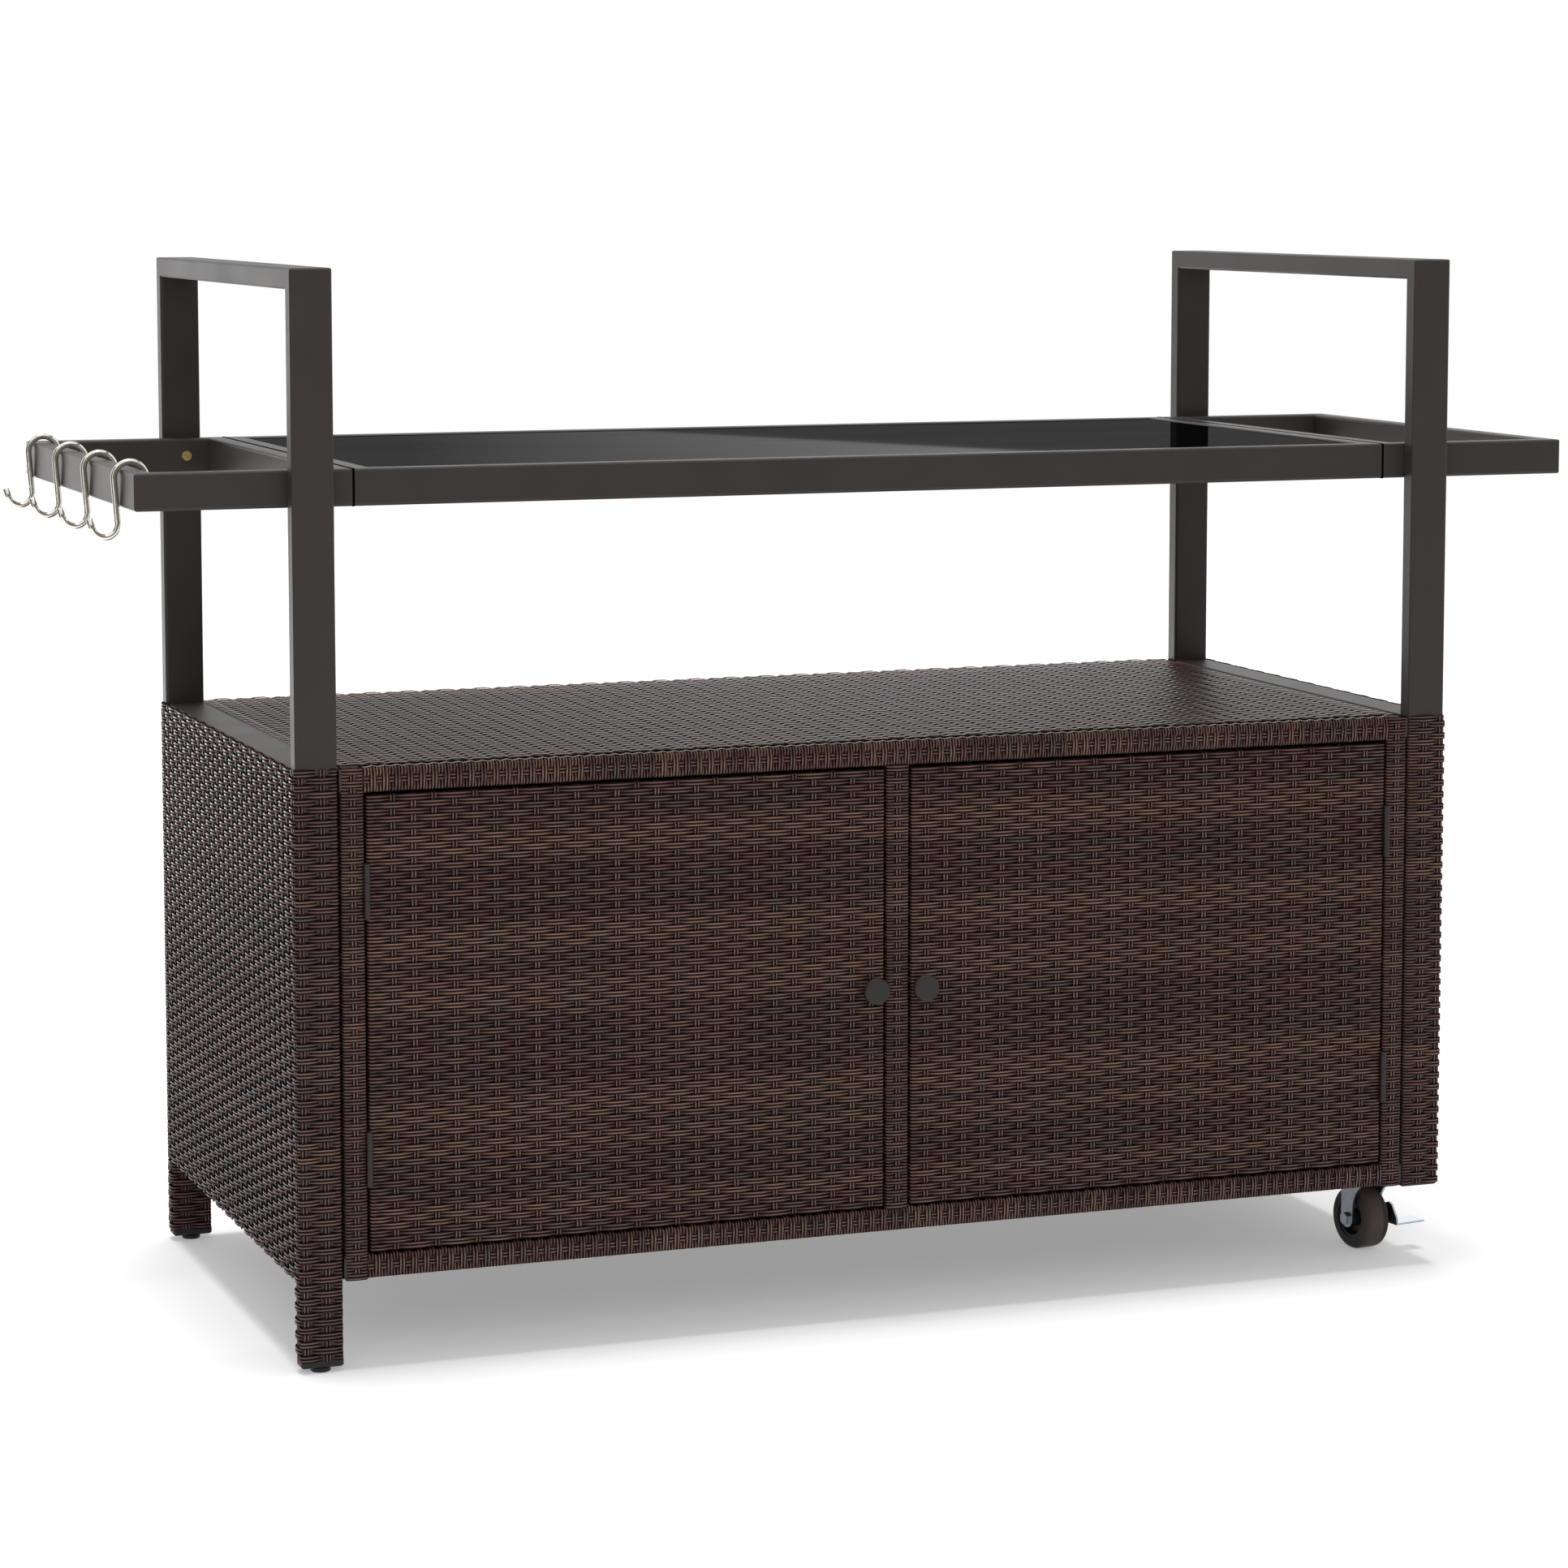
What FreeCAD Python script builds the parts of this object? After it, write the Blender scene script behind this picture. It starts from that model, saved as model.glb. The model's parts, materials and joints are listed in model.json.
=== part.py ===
import FreeCAD
import Part
import math
import os

# Outdoor bar cart: two welded end frames carry a wicker cabinet, a glass shelf and two end handles.
# Millimetres. Built about the cart's middle, with the floor at z = 0, the doors facing -Y, the feet
# at -X and the casters at +X, then moved so that the origin is under the middle of its box.

Vector = FreeCAD.Vector
AXES = {"x": Vector(1, 0, 0), "y": Vector(0, 1, 0), "z": Vector(0, 0, 1)}
SIDES = (-1, 1)

# Overall sizes
frame_length = 1200.0  # over the outer faces of the end frames
frame_depth = 568.0  # over the front and rear posts
hoop_top = 1034.0
shelf_top = 848.0
shelf_seam = 23.5  # from the posts' inner faces to the joint between shelf and handle
handle_reach = 142.0  # from an end frame's outer face to its handle's outer face
cabinet_top = 571.0

# Clearances
run_clear = 0.05  # pin or shaft in its hole, on the radius
free_clear = 0.3  # between faces that move past each other
bolt_clear = 0.1  # bolt or screw in its hole, on the radius
parallel = 1e-6

# Tubes of the end frames, the shelf and handles, the cabinet frames and the doors
post_wide = 40.0
post_deep = 20.0
post_wall = 1.2
post_corner = 3.0
bar_tall = 35.0
bar_wide = 20.0
bar_wall = 1.2
bar_corner = 3.0
mitre_round = 2.5  # outer corner where two tubes meet, at the hoops and the handles' free ends
rail_size = 20.0
rail_wall = 1.2
rail_corner = 2.0
door_tube_wide = 20.0
door_tube_deep = 15.0
door_tube_wall = 1.2
door_tube_corner = 2.0

# Wicker, as a plain skin over the tubes
wicker = 1.5
floor_panel_thick = 3.0

# Glass shelf
glass_thick = 5.0
glass_edge_gap = 1.0
glass_drop = 1.0  # below the top of the bars around it
glass_corner = 3.0
ledge_wide = 12.0
ledge_thick = 2.0
pad_radius = 5.0
pad_thick = 2.0
pad_from_corner = 60.0

# Doors
door_gap = 3.0
door_corner = 5.0
knob_radius = 13.0
knob_head = 7.0
knob_edge = 2.5
knob_stem_radius = 6.0
knob_stem = 6.5
knob_screw_radius = 2.0
knob_screw_bite = 8.0
knob_screw_head_radius = 4.0
knob_screw_head = 2.5

# Door catch behind the mullion
catch_below_top = 40.0  # from the cabinet's top to the top of the stop plate
stop_plate_tall = 30.0
stop_plate_wide = 70.0
stop_plate_thick = 2.0
magnet_wide = 16.0
magnet_tall = 20.0

# Hinges
hinge_tall = 52.0
hinge_from_top = 116.0  # from the cabinet's top to the upper hinge's middle
hinge_from_bottom = 115.0
leaf_thick = 1.2
leaf_deep = 15.0
knuckle_radius = 2.75
hinge_pin_radius = 1.5
hinge_screw_radius = 1.7
hinge_screw_head_radius = 2.9
hinge_screw_length = 9.0
hinge_screw_spread = 32.0

# Bolts: handles to posts, shelf to handles, cabinet frames to each other
bolt_radius = 3.0
bolt_head_radius = 5.0
bolt_head = 4.0
bolt_socket_radius = 2.3
bolt_socket_deep = 2.2
handle_bolt_length = 34.0
shelf_bolt_length = 34.0
frame_bolt_length = 32.0
shelf_bolt_spread = 300.0
end_bolt_gap = 34.0  # from a caster's plate to the bolt beside it
panel_bolt_spread = 600.0

# Feet and tube plugs
foot_disc_radius = 9.5
foot_disc = 4.5
foot_chamfer = 0.8
foot_stud_radius = 4.0
foot_stud = 24.0
leg_plug_head = 6.5
post_plug_head = 2.5
plug_lip = 0.5
plug_insert = 20.0
plug_chamfer = 1.6

# Casters
caster_outward = 5.0  # from the joint of end frame and floor frame out to the swivel axis
caster_inset = 23.5  # from an end of the floor frame's end tube to the swivel axis
caster_turn = 9.0  # degrees
caster_trail = 25.0
wheel_radius = 32.5
wheel_wide = 28.0
wheel_edge = 5.0
wheel_side = 2.0  # between the wheel and each cheek of the fork
wheel_room = 12.0  # between the wheel and the fork's web
hub_radius = 21.0
hub_boss_radius = 9.0
hub_web = 12.0
hub_rim = 3.0
hub_inset = 1.0  # rim's edge inside the tyre's side
axle_radius = 4.0
plate_along_x = 50.0
plate_along_y = 70.0
plate_thick = 2.5
plate_screw_x = 30.0
plate_screw_y = 40.0
plate_screw_radius = 2.5
plate_screw_head_radius = 3.8
plate_screw_head = 2.8
plate_screw_length = 16.0
kingpin_radius = 5.0
kingpin_head_radius = 8.0
kingpin_head = 3.0
crown_radius = 20.0
crown_tall = 3.7
fork_thick = 2.5
fork_boss_radius = 9.5
web_front = 16.5  # from the swivel axis to the web's front edge
cheek_lip = 4.0  # height of the cheek's front end under the web
cheek_steps = 10  # facets of the curve in the cheek's front edge
axle_head_radius = 6.5
axle_head = 4.0
lever_thick = 2.0
lever_front = 37.0  # from the axle to the lever's front edge
lever_rise = 18.0  # from the axle to the lever's top
lever_drop = 4.5  # from the axle to the foot tab's underside
lever_peak = 22.0  # from the axle to the lever's highest corner
lever_slope = 5.5
lever_waist = 9.0
tab_deep = 20.0
tab_out = 36.0

# S-hooks on the left handle
hook_wire_radius = 2.6
hook_room = 2.1  # between the bar's side and the inside of the loop over it
hook_lower_radius = 9.2
hook_tall = 72.0
hook_lower_turn = 165.0  # degrees
hook_tip = 10.0
hook_front = 66.0  # from the bar's front end to the first hook
hook_rear = 41.1  # from the last hook to the bar's rear end
hook_count = 4

# Places worked out from the sizes above
end_x = frame_length / 2
end_inner_x = end_x - post_wide
post_x = end_x - post_wide / 2
post_outer_y = frame_depth / 2
post_inner_y = post_outer_y - post_deep
skin_y = post_outer_y + wicker
wrap_x = end_inner_x - wicker
wrap_y = post_inner_y - wicker
handle_x = end_x + handle_reach
seam_x = end_inner_x - shelf_seam
bar_z = (shelf_top - bar_tall, shelf_top)
bar_mid_z = shelf_top - bar_tall / 2
wrapped_rail = rail_size + 2 * wicker
fork_top = 2 * wheel_radius + wheel_room + fork_thick
crown_z = fork_top + crown_tall
plate_z = crown_z + free_clear
cabinet_bottom = plate_z + plate_thick
leg_bottom = {-1: foot_disc + free_clear + leg_plug_head, 1: cabinet_bottom}
lower_crossbar_z = (cabinet_bottom, cabinet_bottom + post_deep)
upper_crossbar_z = (cabinet_top - post_deep, cabinet_top)
front_rail_y = (-post_outer_y, -post_outer_y + rail_size)
front_back_y = front_rail_y[1] + wicker
front_bottom_z = (cabinet_bottom + wicker, cabinet_bottom + wicker + rail_size)
front_top_z = (cabinet_top - wicker - rail_size, cabinet_top - wicker)
floor_z = (cabinet_bottom, cabinet_bottom + rail_size)
top_z = (cabinet_top - wicker - rail_size, cabinet_top - wicker)
stile_x = (wrap_x - wicker - rail_size, wrap_x - wicker)
door_outer_x = wrap_x - wrapped_rail - door_gap
door_inner_x = wrapped_rail / 2 + door_gap
door_z = (cabinet_bottom + wrapped_rail + door_gap, cabinet_top - wrapped_rail - door_gap)
door_tube_y = (-post_outer_y, -post_outer_y + door_tube_deep)
knob_x = door_inner_x + wicker + door_tube_wide / 2
knob_z = (cabinet_top + cabinet_bottom) / 2
hinge_x = door_outer_x + door_gap / 2
hinge_y = -(skin_y + knuckle_radius + free_clear)
hinge_z = (cabinet_bottom + hinge_from_bottom, cabinet_top - hinge_from_top)
hinge_screw_y = -post_outer_y + door_tube_deep / 2
end_tube_y = (front_back_y + rail_size, post_inner_y - rail_size)
caster_x = end_inner_x + caster_outward
caster_y = {-1: end_tube_y[0] + caster_inset, 1: end_tube_y[1] - caster_inset}
cheek_x = wheel_wide / 2 + wheel_side
lever_x = cheek_x + fork_thick + free_clear
hook_x = -(handle_x - bar_wide / 2)
hook_upper_radius = bar_wide / 2 + hook_room
hook_seat = hook_upper_radius - free_clear - bar_corner
hook_corner = bar_wide / 2 - bar_corner
hook_z = shelf_top - bar_corner - math.sqrt(hook_seat ** 2 - hook_corner ** 2)
hook_first = -post_inner_y + hook_front
hook_pitch = (post_inner_y - hook_rear - hook_first) / (hook_count - 1)
hook_rows = [hook_first + hook_pitch * number for number in range(hook_count)]


def box(x, y, z):
    """Block between three pairs of limits, each given in either order."""
    low = Vector(min(x), min(y), min(z))
    return Part.makeBox(abs(x[1] - x[0]), abs(y[1] - y[0]), abs(z[1] - z[0]), low)


def rounded(x, y, z, along, corner):
    """Block whose four edges along one axis are rounded."""
    solid = box(x, y, z)
    edges = [edge for edge in solid.Edges if edge.tangentAt(0).cross(AXES[along]).Length < parallel]
    return solid.makeFillet(corner, edges)


def tube(x, y, z, along, wall, corner):
    """Hollow rectangular tube, open at both ends."""
    inside = {}
    for axis, pair in (("x", x), ("y", y), ("z", z)):
        inset = 0 if axis == along else wall
        inside[axis] = (min(pair) + inset, max(pair) - inset)
    bore = rounded(inside["x"], inside["y"], inside["z"], along, corner - wall)
    return rounded(x, y, z, along, corner).cut(bore)


def prism(points, along, limits):
    """Flat outline carried along one axis; the points hold the other two coordinates in order."""
    start = min(limits)
    order = {"x": (2, 0, 1), "y": (0, 2, 1), "z": (0, 1, 2)}[along]
    corners = []
    for point in points:
        values = (point[0], point[1], start)
        corners.append(Vector(*[values[index] for index in order]))
    face = Part.Face(Part.makePolygon(corners + corners[:1]))
    return face.extrude(AXES[along] * (max(limits) - start))


def cylinder(point, direction, radius, length):
    return Part.makeCylinder(radius, length, Vector(*point), Vector(*direction))


def placed(shape, point, direction):
    """Copy of a shape made along +Z at the origin, turned to a direction and moved to a point."""
    copy = shape.copy()
    turn = FreeCAD.Rotation(AXES["z"], Vector(*direction))
    copy.Placement = FreeCAD.Placement(Vector(*point), turn)
    return copy


def drilled(solids, holes):
    """The solids with every hole that reaches them cut out."""
    result = []
    for solid in solids:
        near = [hole for hole in holes if hole.BoundBox.intersect(solid.BoundBox)]
        result.extend(solid.cut(near).Solids if near else [solid])
    return result


def hexagon(radius, height):
    points = []
    for corner in range(6):
        angle = math.radians(60 * corner)
        points.append((radius * math.cos(angle), radius * math.sin(angle)))
    return prism(points, "z", (0, height))


# Fastener places: the point under the head and the direction in which the shank goes
handle_bolt_spots = []
shelf_bolt_spots = []
frame_bolt_spots = []
for side in SIDES:
    for end in SIDES:
        handle_y = end * (post_inner_y - bar_wide)
        handle_bolt_spots.append(((side * post_x, handle_y, bar_mid_z), (0, end, 0)))
        seam_y = end * shelf_bolt_spread / 2
        shelf_bolt_spots.append(((side * (seam_x - bar_wide), seam_y, bar_mid_z), (side, 0, 0)))
        for level in (sum(floor_z) / 2, sum(top_z) / 2):
            end_y = caster_y[end] - end * (plate_along_y / 2 + end_bolt_gap)
            frame_bolt_spots.append(((side * (end_inner_x - rail_size), end_y, level), (side, 0, 0)))
            inside_y = post_inner_y if end > 0 else front_back_y
            panel_x = side * panel_bolt_spread / 2
            frame_bolt_spots.append(((panel_x, inside_y - end * rail_size, level), (0, end, 0)))


def socket_bolt(length):
    """Socket-head bolt along +Z, with the underside of its head at z = 0."""
    head = Part.makeCylinder(bolt_head_radius, bolt_head, Vector(0, 0, -bolt_head))
    socket = hexagon(bolt_socket_radius, bolt_socket_deep)
    socket.translate(Vector(0, 0, -bolt_head))
    shank = Part.makeCylinder(bolt_radius, length)
    return head.fuse(shank).removeSplitter().cut(socket)


def bolts(spots, length):
    return [placed(socket_bolt(length), point, direction) for point, direction in spots]


def bolt_holes(spots, length):
    bore = Part.makeCylinder(bolt_radius + bolt_clear, length + free_clear)
    return [placed(bore, point, direction) for point, direction in spots]


handle_holes = bolt_holes(handle_bolt_spots, handle_bolt_length)
shelf_holes = bolt_holes(shelf_bolt_spots, shelf_bolt_length)
frame_holes = bolt_holes(frame_bolt_spots, frame_bolt_length)


# Hinge screws: countersunk, from each leaf's inner face into the tube behind it
def hinge_screw(clear):
    """Countersunk screw along +Z with its head's face at z = 0, or the room for it."""
    shank_radius = hinge_screw_radius + clear
    head_radius = hinge_screw_head_radius + clear
    head = Part.makeCone(head_radius, shank_radius, leaf_thick)
    shank = Part.makeCylinder(shank_radius, hinge_screw_length + clear)
    return head.fuse(shank).removeSplitter()


def hinge_screw_spots(side, fixed):
    """Screws of one side's two hinges, into the frame's stile if fixed, else into the door."""
    face = stile_x[0] - wicker - leaf_thick if fixed else door_outer_x + leaf_thick
    direction = (side if fixed else -side, 0, 0)
    spots = []
    for middle in hinge_z:
        for end in SIDES:
            height = middle + end * hinge_screw_spread / 2
            spots.append(((side * face, hinge_screw_y, height), direction))
    return spots


def hinge_screws(side, fixed, clear=0.0):
    return [placed(hinge_screw(clear), *spot) for spot in hinge_screw_spots(side, fixed)]


# Caster plate screws: up into the end frame's crossbar and the floor frame's end tube
def plate_screw(clear):
    """Pan-head screw along +Z with the underside of its head at z = 0, or the room for its shank."""
    shank = Part.makeCylinder(plate_screw_radius + clear, plate_screw_length + clear)
    if clear:
        return shank
    head = Part.makeCylinder(plate_screw_head_radius, plate_screw_head, Vector(0, 0, -plate_screw_head))
    return head.fuse(shank).removeSplitter()


def plate_screws(clear=0.0):
    screws = []
    for end in SIDES:
        for right in SIDES:
            for back in SIDES:
                x = caster_x + right * plate_screw_x / 2
                y = caster_y[end] + back * plate_screw_y / 2
                screws.append(placed(plate_screw(clear), (x, y, plate_z), (0, 0, 1)))
    return screws


plate_screw_holes = plate_screws(bolt_clear)


# Welded end frames: mitred hoop on two posts, with a crossbar at the cabinet's top and bottom
def end_frame(side):
    x = (side * end_x, side * end_inner_x)
    foot = leg_bottom[side]
    under_hoop = hoop_top - post_deep
    ground = rounded(x, (-post_outer_y, post_outer_y), (foot - post_deep, hoop_top), "x", mitre_round)
    solids = []
    for end in SIDES:
        outer = end * post_outer_y
        inner = end * post_inner_y
        post = tube(x, (outer, inner), (foot, hoop_top), "z", post_wall, post_corner)
        mitre = [(outer, foot), (inner, foot), (inner, under_hoop), (outer, hoop_top)]
        solids.append(post.common(prism(mitre, "x", x)).common(ground))
    hoop = tube(x, (-post_outer_y, post_outer_y), (under_hoop, hoop_top), "y", post_wall, post_corner)
    mitre = [(-post_outer_y, hoop_top), (post_outer_y, hoop_top)]
    mitre += [(post_inner_y, under_hoop), (-post_inner_y, under_hoop)]
    solids.append(hoop.common(prism(mitre, "x", x)).common(ground))
    for level in (lower_crossbar_z, upper_crossbar_z):
        solids.append(tube(x, (-post_inner_y, post_inner_y), level, "y", post_wall, post_corner))
    return drilled(solids, handle_holes + frame_holes + plate_screw_holes)


# Wicker wraps round the posts, from the post's foot to the cabinet's top
def leg_wraps(side):
    x = (side * end_x, side * end_inner_x)
    wrap_limits = (side * (end_x + wicker), side * wrap_x)
    z = (leg_bottom[side], cabinet_top)
    wraps = []
    for end in SIDES:
        outside = rounded(wrap_limits, (end * skin_y, end * wrap_y), z, "z", post_corner + wicker)
        post = rounded(x, (end * post_outer_y, end * post_inner_y), z, "z", post_corner)
        wrap = outside.cut(post)
        for level in (lower_crossbar_z, upper_crossbar_z):
            wrap = wrap.cut(box(x, (end * post_inner_y, end * (wrap_y - wicker)), level))
        wraps.extend(wrap.Solids)
    return wraps


def end_wicker(side):
    """Woven panel stretched over the outside of one end frame, between its posts."""
    x = (side * end_x, side * (end_x + wicker))
    return [box(x, (-wrap_y, wrap_y), (cabinet_bottom, cabinet_top))]


# Front frame: two long rails with two stiles and a mullion between them, each wrapped in wicker
front_uprights = [(-stile_x[1], -stile_x[0]), (-rail_size / 2, rail_size / 2), stile_x]


def front_tubes():
    tubes = []
    for level in (front_bottom_z, front_top_z):
        tubes.append(tube((-wrap_x, wrap_x), front_rail_y, level, "x", rail_wall, rail_corner))
    between = (front_bottom_z[1], front_top_z[0])
    for upright in front_uprights:
        tubes.append(tube(upright, front_rail_y, between, "z", rail_wall, rail_corner))
    screws = hinge_screws(-1, True, bolt_clear) + hinge_screws(1, True, bolt_clear)
    return drilled(tubes, frame_holes + screws)


def widened(pair, amount):
    return (min(pair) - amount, max(pair) + amount)


def front_wicker():
    wraps = []
    wrap_y_limits = widened(front_rail_y, wicker)
    uprights = [box(limits, front_rail_y, (cabinet_bottom, cabinet_top)) for limits in front_uprights]
    for level in (front_bottom_z, front_top_z):
        x = (-wrap_x, wrap_x)
        outside = rounded(x, wrap_y_limits, widened(level, wicker), "x", rail_corner + wicker)
        inside = rounded(x, front_rail_y, level, "x", rail_corner)
        wraps.append(outside.cut([inside] + uprights))
    between = (front_bottom_z[1] + wicker, front_top_z[0] - wicker)
    for upright in front_uprights:
        outside = rounded(widened(upright, wicker), wrap_y_limits, between, "z", rail_corner + wicker)
        wraps.append(outside.cut(rounded(upright, front_rail_y, between, "z", rail_corner)))
    screws = hinge_screws(-1, True, bolt_clear) + hinge_screws(1, True, bolt_clear)
    return drilled(wraps, frame_holes + screws)


# Back, floor and top of the cabinet: welded frames of square tube under plain woven panels
def flat_frame(y, z):
    """Two long tubes, an end tube at each end and one across the middle, lying flat."""
    front, back = y
    tubes = []
    for limits in ((front, front + rail_size), (back - rail_size, back)):
        tubes.append(tube((-wrap_x, wrap_x), limits, z, "x", rail_wall, rail_corner))
    between = (front + rail_size, back - rail_size)
    for left in (-end_inner_x, -rail_size / 2, end_inner_x - rail_size):
        tubes.append(tube((left, left + rail_size), between, z, "y", rail_wall, rail_corner))
    return drilled(tubes, frame_holes + plate_screw_holes)


def back_tubes():
    y = (post_inner_y, post_outer_y)
    tubes = []
    for level in (floor_z, top_z):
        tubes.append(tube((-wrap_x, wrap_x), y, level, "x", rail_wall, rail_corner))
    between = (floor_z[1], top_z[0])
    for left in (-wrap_x, -rail_size / 2, wrap_x - rail_size):
        tubes.append(tube((left, left + rail_size), y, between, "z", rail_wall, rail_corner))
    return drilled(tubes, frame_holes)


def back_wicker():
    return [box((-wrap_x, wrap_x), (post_outer_y, skin_y), (cabinet_bottom, cabinet_top - wicker))]


def floor_panel():
    z = (floor_z[1], floor_z[1] + floor_panel_thick)
    return [box((-wrap_x, wrap_x), (front_back_y, post_inner_y), z)]


def top_wicker():
    return [box((-wrap_x, wrap_x), (front_back_y, skin_y), (cabinet_top - wicker, cabinet_top))]


# Shelf and handles: flat mitred frames between the posts, at one height
def mitred_frame(x, y, z):
    """Four tubes of a flat rectangular frame, cut at 45 degrees where they meet."""
    left, right = min(x), max(x)
    front, back = y
    inner_x = (left + bar_wide, right - bar_wide)
    inner_y = (front + bar_wide, back - bar_wide)
    solids = []
    for outer, inner in ((front, inner_y[0]), (back, inner_y[1])):
        mitre = [(left, outer), (right, outer), (inner_x[1], inner), (inner_x[0], inner)]
        bar = tube((left, right), (outer, inner), z, "x", bar_wall, bar_corner)
        solids.append(bar.common(prism(mitre, "z", z)))
    for outer, inner in ((left, inner_x[0]), (right, inner_x[1])):
        mitre = [(outer, front), (outer, back), (inner, inner_y[1]), (inner, inner_y[0])]
        bar = tube((outer, inner), (front, back), z, "y", bar_wall, bar_corner)
        solids.append(bar.common(prism(mitre, "z", z)))
    return drilled(solids, handle_holes + shelf_holes)


shelf_y = (-post_inner_y, post_inner_y)
opening_x = seam_x - bar_wide
opening_y = post_inner_y - bar_wide
ledge_top = shelf_top - glass_drop - glass_thick - pad_thick


def shelf_frame():
    """Frame round the glass, with a flat ledge welded inside each bar."""
    ledge_z = (ledge_top - ledge_thick, ledge_top)
    ledges = []
    for end in SIDES:
        edge = (end * opening_y, end * (opening_y - ledge_wide))
        ledges.append(box((-opening_x, opening_x), edge, ledge_z))
    for side in SIDES:
        edge = (side * opening_x, side * (opening_x - ledge_wide))
        ledges.append(box(edge, (-opening_y + ledge_wide, opening_y - ledge_wide), ledge_z))
    return mitred_frame((-seam_x, seam_x), shelf_y, bar_z) + ledges


def handle_frame(side):
    ground = rounded((side * (seam_x - bar_wide), side * handle_x), shelf_y, bar_z, "z", mitre_round)
    tubes = mitred_frame((side * seam_x, side * handle_x), shelf_y, bar_z)
    return [bar.common(ground) for bar in tubes]


def glass_top():
    x = opening_x - glass_edge_gap
    y = opening_y - glass_edge_gap
    z = (ledge_top + pad_thick, ledge_top + pad_thick + glass_thick)
    return [rounded((-x, x), (-y, y), z, "z", glass_corner)]


def glass_pads():
    """Soft pads along the long ledges, near the corners and at the middle."""
    pads = []
    for place in (-opening_x + pad_from_corner, 0, opening_x - pad_from_corner):
        for end in SIDES:
            y = end * (opening_y - ledge_wide / 2)
            pads.append(cylinder((place, y, ledge_top), (0, 0, 1), pad_radius, pad_thick))
    return pads


# Doors: tube frame with a woven skin over its face and edges
def door_frame(side):
    x_out = side * (door_outer_x - wicker)
    x_in = side * (door_inner_x + wicker)
    z = (door_z[0] + wicker, door_z[1] - wicker)
    outer_stile = (x_out, x_out - side * door_tube_wide)
    inner_stile = (x_in, x_in + side * door_tube_wide)
    tubes = []
    for limits in (outer_stile, inner_stile):
        tubes.append(tube(limits, door_tube_y, z, "z", door_tube_wall, door_tube_corner))
    between = (outer_stile[1], inner_stile[1])
    for level in ((z[0], z[0] + door_tube_wide), (z[1] - door_tube_wide, z[1])):
        tubes.append(tube(between, door_tube_y, level, "x", door_tube_wall, door_tube_corner))
    return drilled(tubes, hinge_screws(side, False, bolt_clear) + [knob_screw_hole(side)])


def door_wicker(side):
    x = (side * door_inner_x, side * door_outer_x)
    skins = [rounded(x, (-skin_y, -post_outer_y), door_z, "y", door_corner)]
    for edge, step in ((x[0], side * wicker), (x[1], -side * wicker)):
        rise = (door_z[0] + door_corner, door_z[1] - door_corner)
        skins.append(box((edge, edge + step), door_tube_y, rise))
    run = (x[0] + side * door_corner, x[1] - side * door_corner)
    for edge, step in ((door_z[0], wicker), (door_z[1], -wicker)):
        skins.append(box(run, door_tube_y, (edge, edge + step)))
    return drilled(skins, hinge_screws(side, False, bolt_clear) + [knob_screw_hole(side)])


knob_screw_length = wicker + door_tube_deep + knob_screw_bite


def knob_screw_hole(side):
    start = (side * knob_x, door_tube_y[1], knob_z)
    return cylinder(start, (0, -1, 0), knob_screw_radius + bolt_clear, knob_screw_length + bolt_clear)


def knob(side):
    """Turned knob: slim stem and a flat-faced head with a rounded edge."""
    stem = Part.makeCylinder(knob_stem_radius, knob_stem)
    head = Part.makeCylinder(knob_radius, knob_head, Vector(0, 0, knob_stem))
    rims = [edge for edge in head.Edges if isinstance(edge.Curve, Part.Circle)]
    turned = stem.fuse(head.makeFillet(knob_edge, rims)).removeSplitter()
    turned = placed(turned, (side * knob_x, -skin_y, knob_z), (0, -1, 0))
    return drilled([turned], [knob_screw_hole(side)])


def knob_screw(side):
    head = Part.makeCylinder(knob_screw_head_radius, knob_screw_head, Vector(0, 0, -knob_screw_head))
    shank = Part.makeCylinder(knob_screw_radius, knob_screw_length)
    screw = head.fuse(shank).removeSplitter()
    return [placed(screw, (side * knob_x, door_tube_y[1], knob_z), (0, -1, 0))]


# Butt hinges: a leaf on the frame's stile, a leaf on the door's edge and a pin through their knuckles
def hinge_leaf(side, middle, fixed):
    face = stile_x[0] - wicker if fixed else door_outer_x
    inward = -leaf_thick if fixed else leaf_thick
    x = (side * face, side * (face + inward))
    bottom = middle - hinge_tall / 2
    top = middle + hinge_tall / 2
    third = hinge_tall / 3
    gap = free_clear / 2
    if fixed:
        spans = ((bottom, bottom + third - gap), (top - third + gap, top))
    else:
        spans = ((bottom + third + gap, top - third - gap),)
    leaf = box(x, (-skin_y, -skin_y + leaf_deep), (bottom, top))
    for low, high in spans:
        knuckle = cylinder((side * hinge_x, hinge_y, low), (0, 0, 1), knuckle_radius, high - low)
        neck = box(x, (hinge_y, -skin_y), (low, high))
        leaf = leaf.fuse([knuckle, neck])
    bore_radius = hinge_pin_radius + run_clear
    bore = cylinder((side * hinge_x, hinge_y, bottom), (0, 0, 1), bore_radius, hinge_tall)
    return leaf.removeSplitter().cut(bore)


def hinge_leaves(side, fixed):
    leaves = [hinge_leaf(side, middle, fixed) for middle in hinge_z]
    return drilled(leaves, hinge_screws(side, fixed, bolt_clear))


def hinge_pins():
    pins = []
    for side in SIDES:
        for middle in hinge_z:
            foot = (side * hinge_x, hinge_y, middle - hinge_tall / 2)
            pins.append(cylinder(foot, (0, 0, 1), hinge_pin_radius, hinge_tall))
    return pins


# Door catch: a stop plate on the mullion's back holds one magnet behind each door
stop_plate_y = -post_outer_y + rail_size + wicker
stop_plate_z = (cabinet_top - catch_below_top - stop_plate_tall, cabinet_top - catch_below_top)


def stop_plate():
    x = (-stop_plate_wide / 2, stop_plate_wide / 2)
    return [box(x, (stop_plate_y, stop_plate_y + stop_plate_thick), stop_plate_z)]


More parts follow.
